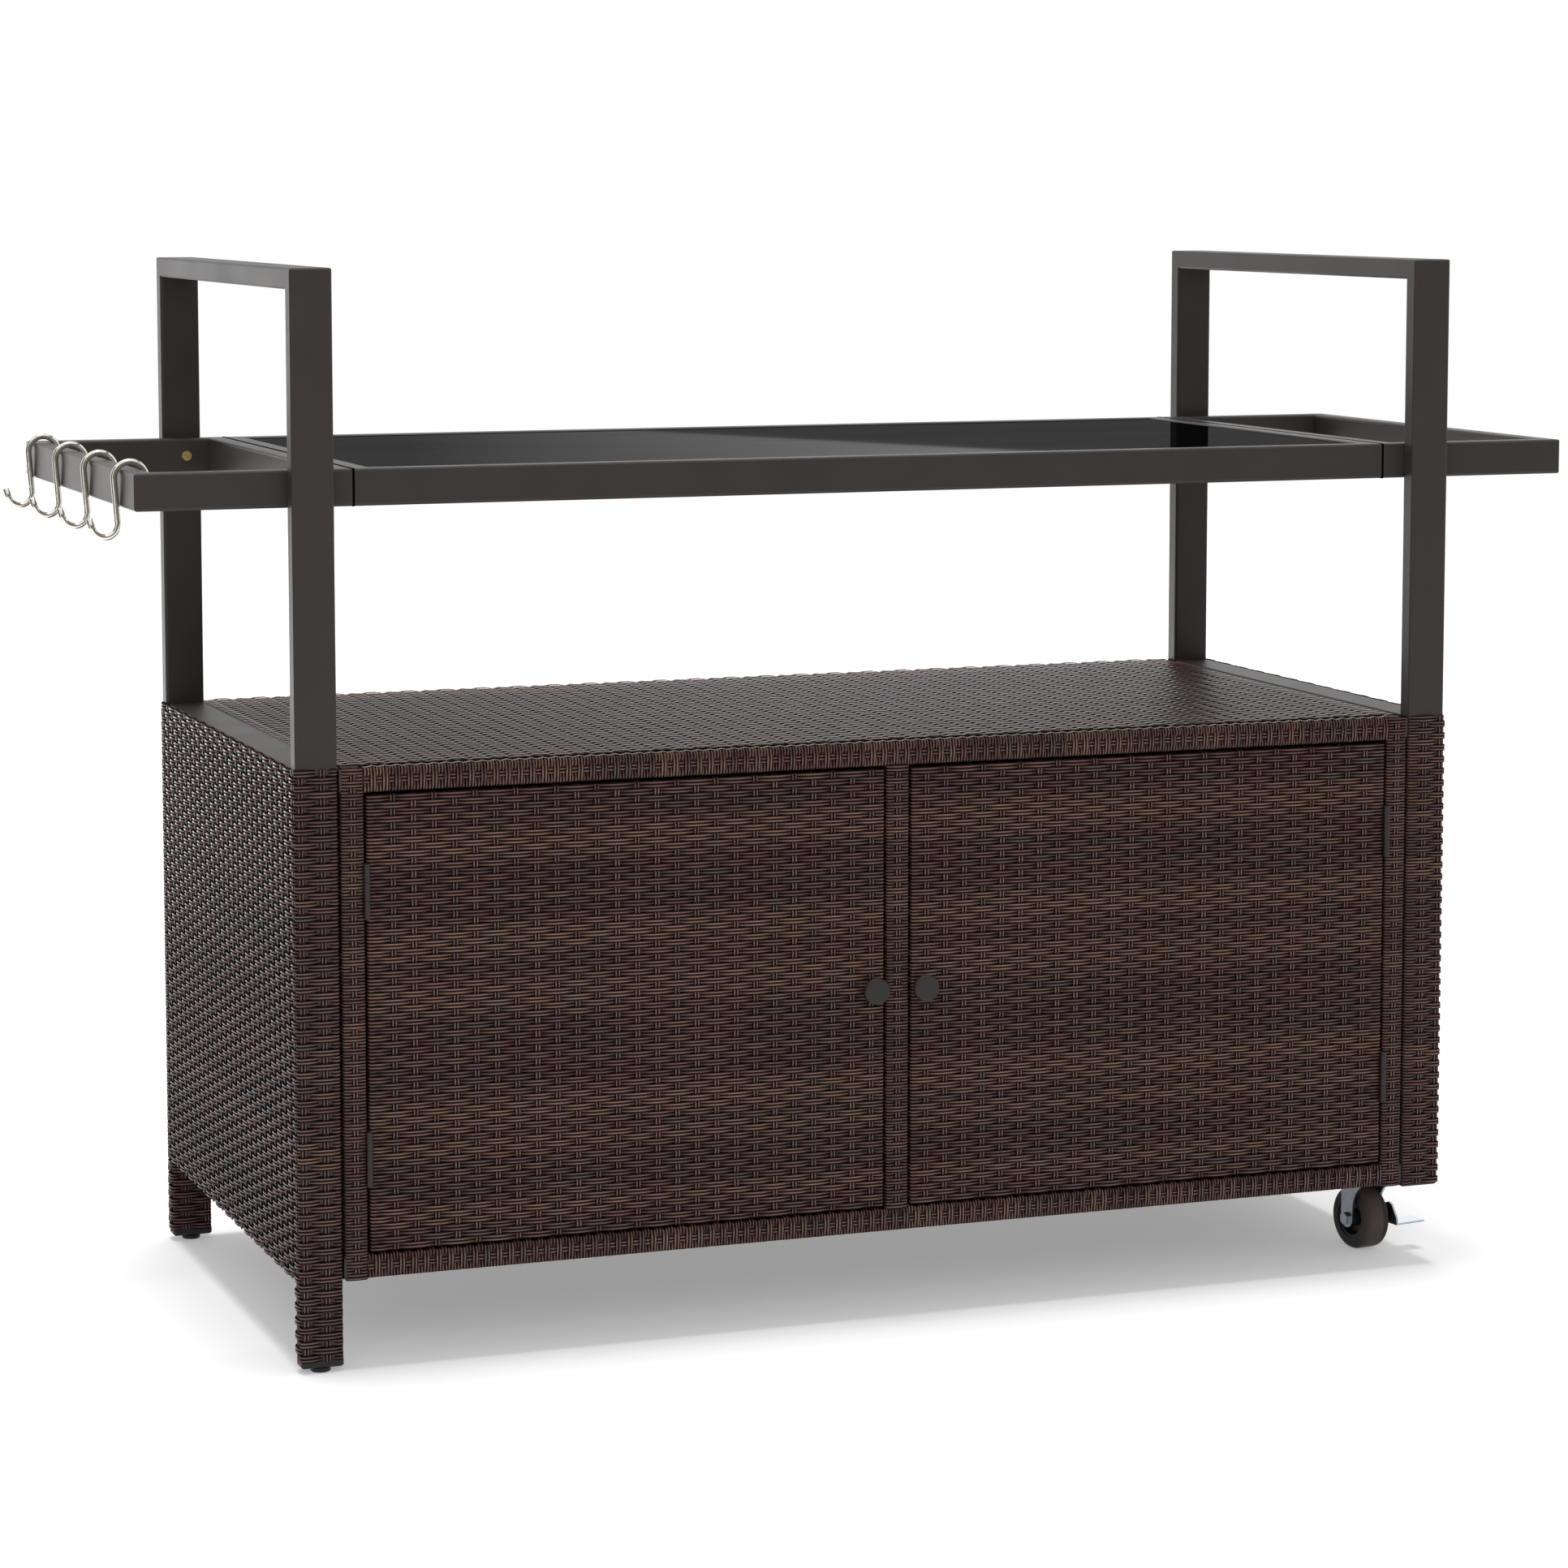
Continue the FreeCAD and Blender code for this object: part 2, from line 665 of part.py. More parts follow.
def catch_magnets():
    magnets = []
    middle = sum(stop_plate_z) / 2
    z = (middle - magnet_tall / 2, middle + magnet_tall / 2)
    for side in SIDES:
        x = (side * (knob_x - magnet_wide / 2), side * (knob_x + magnet_wide / 2))
        magnets.append(box(x, (door_tube_y[1] + free_clear, stop_plate_y), z))
    return magnets


# Plugs in the open ends of the posts, and the screw-in feet under the left pair
def tube_plug(side, end, head):
    """Moulded plug: chamfered head under the tube and a block inside it."""
    z = leg_bottom[side]
    x = (side * (end_x + plug_lip), side * (end_inner_x - plug_lip))
    y = (end * (post_outer_y + plug_lip), end * (post_inner_y - plug_lip))
    cap = rounded(x, y, (z - head, z), "z", post_corner)
    under = [edge for edge in cap.Edges if edge.BoundBox.ZMax < z - head / 2]
    cap = cap.makeChamfer(plug_chamfer, under)
    inset = post_wall + bolt_clear
    block_x = (side * (end_x - inset), side * (end_inner_x + inset))
    block_y = (end * (post_outer_y - inset), end * (post_inner_y + inset))
    block = rounded(block_x, block_y, (z, z + plug_insert), "z", post_corner - post_wall)
    return cap.fuse(block)


def leg_plugs():
    plugs = []
    for end in SIDES:
        start = (-post_x, end * (post_outer_y - post_deep / 2), 0)
        bore = cylinder(start, (0, 0, 1), foot_stud_radius + run_clear, leg_bottom[-1] + plug_insert)
        plugs.append(tube_plug(-1, end, leg_plug_head).cut(bore))
    return plugs


def post_plugs():
    return [tube_plug(1, end, post_plug_head) for end in SIDES]


def foot(end):
    """Glide disc with the stud that screws into the leg's plug."""
    disc = Part.makeCylinder(foot_disc_radius, foot_disc)
    rims = [edge for edge in disc.Edges if isinstance(edge.Curve, Part.Circle)]
    stud = Part.makeCylinder(foot_stud_radius, foot_stud, Vector(0, 0, foot_disc))
    glide = disc.makeChamfer(foot_chamfer, rims).fuse(stud).removeSplitter()
    return [placed(glide, (-post_x, end * (post_outer_y - post_deep / 2), 0), (0, 0, 1))]


# Casters: made about the swivel axis with the wheel trailing along +Y, then turned and moved
def at_caster(shape, end):
    shape = shape.copy()
    shape.rotate(Vector(0, 0, 0), AXES["z"], caster_turn)
    shape.translate(Vector(caster_x, caster_y[end], 0))
    return shape


def caster_plates():
    plates = []
    for end in SIDES:
        x = (caster_x - plate_along_x / 2, caster_x + plate_along_x / 2)
        y = (caster_y[end] - plate_along_y / 2, caster_y[end] + plate_along_y / 2)
        plate = rounded(x, y, (plate_z, cabinet_bottom), "z", post_corner)
        start = (caster_x, caster_y[end], plate_z)
        pin_hole = cylinder(start, (0, 0, 1), kingpin_radius + run_clear, plate_thick)
        plates.extend(drilled([plate], [pin_hole] + plate_screw_holes))
    return plates


def kingpins():
    """Rivets that carry the forks: flush in the plate, with a head under the fork."""
    head_top = fork_top - fork_thick - free_clear
    pins = []
    for end in SIDES:
        start = (caster_x, caster_y[end], head_top)
        shaft = cylinder(start, (0, 0, 1), kingpin_radius, cabinet_bottom - head_top)
        head = cylinder(start, (0, 0, -1), kingpin_head_radius, kingpin_head)
        pins.append(shaft.fuse(head).removeSplitter())
    return pins


def cheek_outline():
    """One cheek of the fork in its own plane: (y, z) corners from the crown down to the axle boss."""
    back = caster_trail + fork_boss_radius
    front = caster_trail - fork_boss_radius
    lip_z = fork_top - cheek_lip
    sweep = front + web_front
    outline = [
        (-web_front, fork_top),
        (back - fork_thick, fork_top),
        (back, fork_top - fork_thick),
        (back, wheel_radius),
        (front, wheel_radius),
    ]
    for step in range(cheek_steps + 1):
        angle = math.radians(90) * step / cheek_steps
        outline.append((front - sweep * (1 - math.cos(angle)), lip_z - sweep * (1 - math.sin(angle))))
    return outline


def caster_fork(end):
    """Pressed fork: round crown, flat web over the wheel and a cheek on each side of it."""
    outline = cheek_outline()
    outside = cheek_x + fork_thick
    web_y = (outline[0][0], outline[1][0])
    fork = box((-outside, outside), web_y, (fork_top - fork_thick, fork_top))
    crown = cylinder((0, 0, fork_top - fork_thick), (0, 0, 1), crown_radius, crown_tall + fork_thick)
    parts = [crown]
    for side in SIDES:
        plate = prism(outline, "x", (side * cheek_x, side * outside))
        boss_face = (side * cheek_x, caster_trail, wheel_radius)
        parts.extend([plate, cylinder(boss_face, (side, 0, 0), fork_boss_radius, fork_thick)])
    fork = fork.fuse(parts).removeSplitter()
    pin_hole = cylinder((0, 0, 0), (0, 0, 1), kingpin_radius + run_clear, cabinet_bottom)
    axle_hole = axle_bore(axle_radius + run_clear)
    return [at_caster(fork.cut([pin_hole, axle_hole]), end)]


def axle_bore(radius):
    length = 2 * (lever_x + lever_thick + axle_head)
    return cylinder((-length / 2, caster_trail, wheel_radius), (1, 0, 0), radius, length)


def at_axle(shape):
    """A wheel piece made along +Z at the origin, laid on the axle."""
    return placed(shape, (0, caster_trail, wheel_radius), (1, 0, 0))


def caster_tyre(end):
    half = wheel_wide / 2
    ring = Part.makeCylinder(wheel_radius, wheel_wide, Vector(0, 0, -half))
    rims = [edge for edge in ring.Edges if isinstance(edge.Curve, Part.Circle)]
    bore = Part.makeCylinder(hub_radius, wheel_wide, Vector(0, 0, -half))
    return [at_caster(at_axle(ring.makeFillet(wheel_edge, rims).cut(bore)), end)]


def caster_hub(end):
    """Wheel centre: rim and boss on a thin web."""
    half = wheel_wide / 2
    rim_inner = hub_radius - hub_rim
    rim_half = half - hub_inset
    boss_half = cheek_x - free_clear
    rim = Part.makeCylinder(hub_radius, 2 * rim_half, Vector(0, 0, -rim_half))
    rim = rim.cut(Part.makeCylinder(rim_inner, wheel_wide, Vector(0, 0, -half)))
    web = Part.makeCylinder(rim_inner, hub_web, Vector(0, 0, -hub_web / 2))
    boss = Part.makeCylinder(hub_boss_radius, 2 * boss_half, Vector(0, 0, -boss_half))
    bore = Part.makeCylinder(axle_radius + run_clear, 2 * boss_half, Vector(0, 0, -boss_half))
    hub = rim.fuse([web, boss]).removeSplitter().cut(bore)
    return [at_caster(at_axle(hub), end)]


def axle_bolt(end):
    """Bolt from the left cheek to past the brake lever, and its nut."""
    left = -(cheek_x + fork_thick)
    nut_left = lever_x + lever_thick + free_clear
    length = nut_left + 2 * axle_head - left
    shank = Part.makeCylinder(axle_radius, length, Vector(0, 0, left))
    head = hexagon(axle_head_radius, axle_head)
    head.translate(Vector(0, 0, left - axle_head))
    nut = hexagon(axle_head_radius, axle_head)
    nut.translate(Vector(0, 0, nut_left))
    nut = nut.cut(Part.makeCylinder(axle_radius + bolt_clear, axle_head, Vector(0, 0, nut_left)))
    return [at_caster(at_axle(piece), end) for piece in (shank.fuse(head).removeSplitter(), nut)]


def brake_lever(end):
    """Side lever on the axle, with a foot tab bent outwards from its front edge."""
    front = caster_trail - lever_front
    top = wheel_radius + lever_rise
    low = wheel_radius - lever_drop
    x = (lever_x, lever_x + lever_thick)
    peak = caster_trail - lever_peak
    outline = [
        (front, low),
        (front + lever_thick, low + lever_waist),
        (peak - lever_slope, top - lever_thick),
        (peak, top),
        (caster_trail, wheel_radius + fork_boss_radius),
        (caster_trail, wheel_radius - fork_boss_radius),
        (front + tab_deep, low),
    ]
    plate = prism(outline, "x", x)
    boss = cylinder((x[0], caster_trail, wheel_radius), (1, 0, 0), fork_boss_radius, lever_thick)
    tab = box((lever_x, lever_x + tab_out), (front, front + tab_deep), (low, low + lever_thick))
    lever = plate.fuse([boss, tab]).removeSplitter()
    return [at_caster(lever.cut(axle_bore(axle_radius + run_clear)), end)]


# S-hooks: bent wire over the left handle's outer bar, leaning until the leg meets the bar's lower corner
hook_below = hook_z - (bar_z[0] + bar_corner)
hook_open = math.asin(hook_seat / math.hypot(hook_corner, hook_below))
hook_lean = hook_open - math.atan2(hook_corner, hook_below)
hook_upper = hook_upper_radius + hook_wire_radius
hook_lower = hook_lower_radius + hook_wire_radius
hook_leg = hook_tall - hook_upper - hook_lower - 2 * hook_wire_radius


def on_circle(centre, radius, degrees):
    angle = math.radians(degrees)
    return Vector(centre[0] + radius * math.cos(angle), 0, centre[1] + radius * math.sin(angle))


def s_hook(y):
    lower_centre = (-hook_upper - hook_lower, -hook_leg)
    tail = Vector(hook_upper, 0, 0)
    shoulder = Vector(-hook_upper, 0, 0)
    knee = Vector(-hook_upper, 0, -hook_leg)
    curl = on_circle(lower_centre, hook_lower, -hook_lower_turn)
    lean_out = math.radians(180 - hook_lower_turn)
    tip = curl + Vector(-math.sin(lean_out), 0, math.cos(lean_out)) * hook_tip
    path = Part.Wire([
        Part.Arc(tail, on_circle((0, 0), hook_upper, 90), shoulder).toShape(),
        Part.LineSegment(shoulder, knee).toShape(),
        Part.Arc(knee, on_circle(lower_centre, hook_lower, -hook_lower_turn / 2), curl).toShape(),
        Part.LineSegment(curl, tip).toShape(),
    ])
    section = Part.Wire(Part.makeCircle(hook_wire_radius, tail, AXES["z"]))
    wire = path.makePipeShell([section], True, False)
    wire.rotate(Vector(0, 0, 0), AXES["y"], -math.degrees(hook_lean))
    wire.translate(Vector(hook_x, y, hook_z))
    return [wire]


nodes = {
    "left_end_frame": end_frame(-1),
    "right_end_frame": end_frame(1),
    "left_leg_wraps": leg_wraps(-1),
    "right_leg_wraps": leg_wraps(1),
    "left_end_wicker": end_wicker(-1),
    "right_end_wicker": end_wicker(1),
    "front_frame_tubes": front_tubes(),
    "front_frame_wicker": front_wicker(),
    "back_frame_tubes": back_tubes(),
    "back_wicker_panel": back_wicker(),
    "floor_frame_tubes": flat_frame((front_back_y, post_inner_y), floor_z),
    "floor_panel": floor_panel(),
    "top_frame_tubes": flat_frame((front_back_y, post_inner_y), top_z),
    "top_wicker_panel": top_wicker(),
    "shelf_frame": shelf_frame(),
    "glass_top": glass_top(),
    "glass_pads": glass_pads(),
    "left_handle_frame": handle_frame(-1),
    "right_handle_frame": handle_frame(1),
    "handle_bolts": bolts(handle_bolt_spots, handle_bolt_length),
    "shelf_bolts": bolts(shelf_bolt_spots, shelf_bolt_length),
    "frame_bolts": bolts(frame_bolt_spots, frame_bolt_length),
    "left_leg_plugs": leg_plugs(),
    "right_post_plugs": post_plugs(),
    "hinge_frame_leaves": hinge_leaves(-1, True) + hinge_leaves(1, True),
    "hinge_pins": hinge_pins(),
    "hinge_frame_screws": hinge_screws(-1, True) + hinge_screws(1, True),
    "door_stop_plate": stop_plate(),
    "catch_magnets": catch_magnets(),
    "caster_plates": caster_plates(),
    "caster_plate_screws": plate_screws(),
    "caster_kingpins": kingpins(),
}
for name, side in (("left", -1), ("right", 1)):
    nodes[name + "_door_frame"] = door_frame(side)
    nodes[name + "_door_wicker"] = door_wicker(side)
    nodes[name + "_knob"] = knob(side)
    nodes[name + "_knob_screw"] = knob_screw(side)
    nodes[name + "_hinge_door_leaves"] = hinge_leaves(side, False)
    nodes[name + "_hinge_door_screws"] = hinge_screws(side, False)
for name, end in (("front", -1), ("rear", 1)):
    nodes[name + "_foot"] = foot(end)
    nodes[name + "_caster_fork"] = caster_fork(end)
    nodes[name + "_caster_tyre"] = caster_tyre(end)
    nodes[name + "_caster_hub"] = caster_hub(end)
    nodes[name + "_axle_bolt"] = axle_bolt(end)
    nodes[name + "_brake_lever"] = brake_lever(end)
for number, row in enumerate(hook_rows, 1):
    nodes["hook_" + str(number)] = s_hook(row)

# The origin goes to the floor under the middle of the cart's box
whole = Part.makeCompound([solid for solids in nodes.values() for solid in solids]).optimalBoundingBox()
shift = Vector(-whole.Center.x, -whole.Center.y, -whole.ZMin)

os.makedirs("parts", exist_ok=True)
for name, solids in nodes.items():
    shape = Part.makeCompound(solids)
    shape.translate(shift)
    shape.exportStep("parts/" + name + ".step")
    print(name, len(shape.Solids), "solids", "valid" if shape.isValid() else "BAD")
print("nodes", len(nodes), "shift", shift, "size", whole.XLength, whole.YLength, whole.ZLength)
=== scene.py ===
import json
import math

import bpy
import numpy as np
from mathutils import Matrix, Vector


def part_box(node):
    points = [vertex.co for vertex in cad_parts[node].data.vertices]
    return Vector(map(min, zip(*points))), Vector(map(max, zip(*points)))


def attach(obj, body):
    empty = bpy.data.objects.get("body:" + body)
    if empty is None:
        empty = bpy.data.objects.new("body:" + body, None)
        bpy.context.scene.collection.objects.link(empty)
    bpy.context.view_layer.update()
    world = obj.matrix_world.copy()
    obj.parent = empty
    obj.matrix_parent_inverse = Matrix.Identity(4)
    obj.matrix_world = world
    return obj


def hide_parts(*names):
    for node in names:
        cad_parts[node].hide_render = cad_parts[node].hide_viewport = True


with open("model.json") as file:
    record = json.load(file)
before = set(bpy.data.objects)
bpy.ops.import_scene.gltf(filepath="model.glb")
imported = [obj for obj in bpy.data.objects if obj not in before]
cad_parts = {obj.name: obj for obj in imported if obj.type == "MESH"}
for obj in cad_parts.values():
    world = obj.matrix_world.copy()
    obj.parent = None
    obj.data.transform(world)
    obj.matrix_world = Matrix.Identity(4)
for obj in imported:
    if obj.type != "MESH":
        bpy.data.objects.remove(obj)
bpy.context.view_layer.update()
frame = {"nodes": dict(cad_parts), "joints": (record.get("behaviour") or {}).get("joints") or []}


# Studio: the camera stands low in front of the left end, so the front and the left side show.
# The surround and the floor are white to the eye, and the floor keeps the cart's soft shadow.
# Cards that only glossy surfaces see shape the shine on tube, tape and glass.
scene = bpy.context.scene
scene.view_settings.view_transform = "Standard"


class Amount:
    """A value in a node tree: sums, differences, products and quotients add Math nodes."""

    def __init__(self, tree, socket):
        self.tree = tree
        self.socket = socket

    def other(self, name):
        return Amount(self.tree, self.socket.node.outputs[name])

    def maths(self, operation, first, second):
        return self.tree.node("ShaderNodeMath", {"operation": operation}, {0: first, 1: second})

    def __add__(self, value):
        return self.maths("ADD", self, value)

    def __radd__(self, value):
        return self.maths("ADD", value, self)

    def __sub__(self, value):
        return self.maths("SUBTRACT", self, value)

    def __rsub__(self, value):
        return self.maths("SUBTRACT", value, self)

    def __mul__(self, value):
        return self.maths("MULTIPLY", self, value)

    def __rmul__(self, value):
        return self.maths("MULTIPLY", value, self)

    def __truediv__(self, value):
        return self.maths("DIVIDE", self, value)

    def __rtruediv__(self, value):
        return self.maths("DIVIDE", value, self)


class Finish:
    """The node tree of a material or of the world."""

    def __init__(self, owner):
        owner.use_nodes = True
        owner.node_tree.nodes.clear()
        self.owner = owner

    def node(self, kind, settings, sockets, output=0):
        made = self.owner.node_tree.nodes.new(kind)
        for name, value in settings.items():
            if name == "stops":
                while len(made.color_ramp.elements) < len(value):
                    made.color_ramp.elements.new(1.0)
                for element, (place, colour) in zip(made.color_ramp.elements, value):
                    element.position = place
                    element.color = colour
            else:
                setattr(made, name, value)
        for name, value in sockets.items():
            if isinstance(value, Amount):
                self.owner.node_tree.links.new(value.socket, made.inputs[name])
            else:
                made.inputs[name].default_value = value
        return Amount(self, made.outputs[output] if made.outputs else None)

    def blend(self, share, first, second):
        sockets = {0: share, 6: first, 7: second}
        return self.node("ShaderNodeMix", {"data_type": "RGBA"}, sockets, 2)

    def shown(self):
        """1 for the camera, for mirror-like surfaces and through glass; 0 for falling light."""
        rays = self.node("ShaderNodeLightPath", {}, {}, "Is Camera Ray")
        total = rays + rays.other("Is Glossy Ray") + rays.other("Is Transmission Ray")
        return self.node("ShaderNodeMath", {"operation": "MINIMUM"}, {0: total, 1: 1.0})


def piece(name, vertices, faces):
    mesh = bpy.data.meshes.new(name)
    mesh.from_pydata(vertices, [], faces)
    made = bpy.data.objects.new(name, mesh)
    scene.collection.objects.link(made)
    return made


camera_down = 5.947
camera_turn = 20.483
camera_data = bpy.data.cameras.new("camera")
camera_data.lens = 99.294
camera_data.sensor_width = 36.0
camera_data.shift_y = -0.1
camera = bpy.data.objects.new("camera", camera_data)
camera.location = (-1.5473, -4.1432, 1.1169)
camera.rotation_euler = (math.radians(90.0 - camera_down), 0.0, math.radians(-camera_turn))
scene.collection.objects.link(camera)
scene.camera = camera

white = (1.0, 1.0, 1.0, 1.0)
surround_level = 0.42
scene.world = bpy.data.worlds.new("white_surround")
surround = Finish(scene.world)
level = surround_level + (1.0 - surround_level) * surround.shown()
light = surround.node("ShaderNodeBackground", {}, {"Color": white, "Strength": level})
surround.node("ShaderNodeOutputWorld", {}, {"Surface": light})

floor_reach = 9.0
floor_colour = (0.93, 0.93, 0.93, 1.0)
floor_glow = 0.27
floor = piece(
    "studio_floor",
    [(-floor_reach, -floor_reach, 0.0), (floor_reach, -floor_reach, 0.0),
     (floor_reach, floor_reach, 0.0), (-floor_reach, floor_reach, 0.0)],
    [(0, 1, 2, 3)],
)
floor_look = Finish(bpy.data.materials.new("pale_floor"))
matt = floor_look.node("ShaderNodeBsdfDiffuse", {}, {"Color": floor_colour})
glow = floor_look.node("ShaderNodeEmission", {}, {"Strength": floor_glow * floor_look.shown()})
both = floor_look.node("ShaderNodeAddShader", {}, {0: matt, 1: glow})
floor_look.node("ShaderNodeOutputMaterial", {}, {"Surface": both})
floor.data.materials.append(floor_look.owner)


def lamp(name, kind, energy, place, turn, mirrored=True, **shape):
    data = bpy.data.lights.new(name, kind)
    data.energy = energy
    for key, value in shape.items():
        setattr(data, key, value)
    made = bpy.data.objects.new(name, data)
    made.location = place
    made.rotation_euler = [math.radians(angle) for angle in turn]
    made.visible_glossy = mirrored
    scene.collection.objects.link(made)


lamp("high_light", "SUN", 1.8, (0.0, 0.0, 3.0), (-3.0, -1.0, 0.0), angle=math.radians(16.0))
lamp(
    "front_light", "AREA", 15.6, (-0.9, -2.6, 1.5), (76.0, 0.0, -14.0), mirrored=False,
    shape="RECTANGLE", size=3.0, size_y=1.6,
)
lamp(
    "low_back_light", "AREA", 9.5, (0.4, 1.7, 0.3), (-84.0, 0.0, 0.0),
    shape="RECTANGLE", size=3.0, size_y=0.4,
)


def card(name, corners, glow):
    """A studio card that only polished and glossy surfaces see."""
    made = piece(name, corners, [(0, 1, 2, 3)])
    look = Finish(bpy.data.materials.new(name))
    strength = glow(look) if callable(glow) else glow
    light = look.node("ShaderNodeEmission", {}, {"Strength": strength})
    look.node("ShaderNodeOutputMaterial", {}, {"Surface": light})
    made.data.materials.append(look.owner)
    made.visible_camera = False
    made.visible_diffuse = False
    made.visible_shadow = False
    made.visible_transmission = False


def rising(look):
    """Light that grows towards the card's slanted right edge."""
    place = look.node("ShaderNodeTexCoord", {}, {}, "Object")
    right = look.node("ShaderNodeSeparateXYZ", {}, {"Vector": place}, "X")
    return look.node(
        "ShaderNodeMapRange",
        {},
        {"Value": right, "From Min": 0.3, "From Max": 1.3, "To Min": 1.0, "To Max": 4.6},
    )


card(
    "dark_front_card",
    [(-6.0, -4.8, 0.05), (6.0, -4.8, 0.05), (6.0, -4.8, 3.2), (-6.0, -4.8, 3.2)],
    0.03,
)
card(
    "dark_left_card",
    [(-3.0, -1.0, 0.0), (-3.0, 4.4, 0.0), (-3.0, 4.4, 3.0), (-3.0, -1.0, 3.0)],
    0.04,
)
card(
    "bright_left_card",
    [(-3.4, 5.0, 0.0), (-1.3, 5.0, 0.0), (-1.3, 5.0, 2.4), (-3.4, 5.0, 2.4)],
    2.8,
)
card(
    "bright_back_card",
    [(-0.6, 2.5, 0.85), (0.08, 2.5, 0.944), (2.79, 2.5, 1.135), (-0.6, 2.5, 1.135)],
    rising,
)


# Steel tubes of the end frames, cabinet, doors, shelf and handles: welded square tube
# with a dark brown-grey powder coat, which has a fine orange-peel grain and a soft gloss.
MM = 0.001
cad = frame["nodes"]


def srgb(red, green, blue):
    """A colour as it is seen, 0 to 255, as the shader's linear colour."""
    parts = []
    for part in (red, green, blue):
        part = part / 255.0
        parts.append(part / 12.92 if part <= 0.04045 else ((part + 0.055) / 1.055) ** 2.4)
    return (*parts, 1.0)


def noise(finish, scale, detail):
    """Noise that sits still on the piece, with that many grains to a metre."""
    place = finish.node("ShaderNodeTexCoord", {}, {}, "Object")
    sockets = {"Vector": place, "Scale": scale, "Detail": detail}
    return finish.node("ShaderNodeTexNoise", {}, sockets)


def relief(finish, height, strength):
    """Fine relief for the shine to catch on."""
    sockets = {"Strength": strength, "Distance": 0.2 * MM, "Height": height}
    return finish.node("ShaderNodeBump", {}, sockets)


def surfaced(finish, sockets):
    """Ends a finish with its surface, and gives the material."""
    surface = finish.node("ShaderNodeBsdfPrincipled", {}, sockets)
    finish.node("ShaderNodeOutputMaterial", {}, {"Surface": surface})
    return finish.owner


def coated(name, dark, light, rough, grain, gloss=0.25):
    """Paint over metal: cloudy tone, small changes of gloss, and a grain given in millimetres."""
    finish = Finish(bpy.data.materials.new(name))
    cloud = noise(finish, 14.0, 4.0)
    speck = noise(finish, 1000.0 / grain, 2.0)
    tone = finish.blend(0.65 * cloud + 0.35 * speck, dark, light)
    return surfaced(finish, {
        "Base Color": tone,
        "Roughness": rough - 0.06 + 0.12 * cloud,
        "Normal": relief(finish, speck, 0.12),
        "Specular IOR Level": gloss,
    })


def dress(material, *names):
    for name in names:
        cad[name].data.materials.clear()
        cad[name].data.materials.append(material)


frame_paint = coated("frame_powder_coat", srgb(52, 47, 44), srgb(64, 58, 55), 0.45, 0.9)
dress(
    frame_paint,
    "left_end_frame", "right_end_frame", "front_frame_tubes", "back_frame_tubes",
    "floor_frame_tubes", "top_frame_tubes", "shelf_frame", "left_handle_frame",
    "right_handle_frame", "left_door_frame", "right_door_frame", "door_stop_plate",
)


# Woven ends: flat plastic tapes with two ribs, run level round the posts and across each end,
# over and under upright stakes, and wound round the left legs below. The tapes turn in at the
# inner edge of each post, and an inner row behind every gap between them stops the light; that row
# is coloured dark as painted shade.
UP = (0.0, 0.0, 1.0)
TWO_RIBS = np.array([
    (-1.0, 0.35), (-0.72, 0.92), (-0.33, 0.97), (0.0, 0.62),
    (0.33, 0.97), (0.72, 0.92), (1.0, 0.35),
])
TWO_RIBS_COARSE = np.array([(-1.0, 0.3), (-0.52, 1.0), (0.0, 0.55), (0.52, 1.0), (1.0, 0.3)])
TWO_RIBS_FLAT = np.array([(-1.0, 0.3), (-0.62, 0.75), (0.0, 0.6), (0.62, 0.75), (1.0, 0.3)])
ONE_RIB = np.array([(-1.0, 0.3), (0.0, 1.0), (1.0, 0.3)])
TAPE_THICK = 1.1 * MM
TAPE_SWING = 1.05 * MM
TAPE_LIFT = 0.4 * MM
TAPE_DRIFT = 0.1 * MM
DRIFT_RATE = 31.0
DRIFT_ROOM = 6.3
STAKE_RISE = 0.65 * MM
STAKE_STEP = 60.0 * MM
LEAST_STEP = 0.45 * MM
SPARE_STAKES = 40
FLAT_CREST = 1.35
ARC_STEPS = 4
STRAIGHT = 0.999
CALM_NEAR = 2.0 * MM
CALM_FADE = 6.0 * MM
CALM_LEAST = 0.15
DYE_REACH = 110.0 * MM
BAND_REACH = 240.0 * MM
BAND_ROWS = 4
GRAIN_ROOM = 40.0
# The sunk layer, how far a tape lies below the crossings, drives the painted shade in the weave's
# hollows.
LAYERS = ("tone", "band", "sunk")


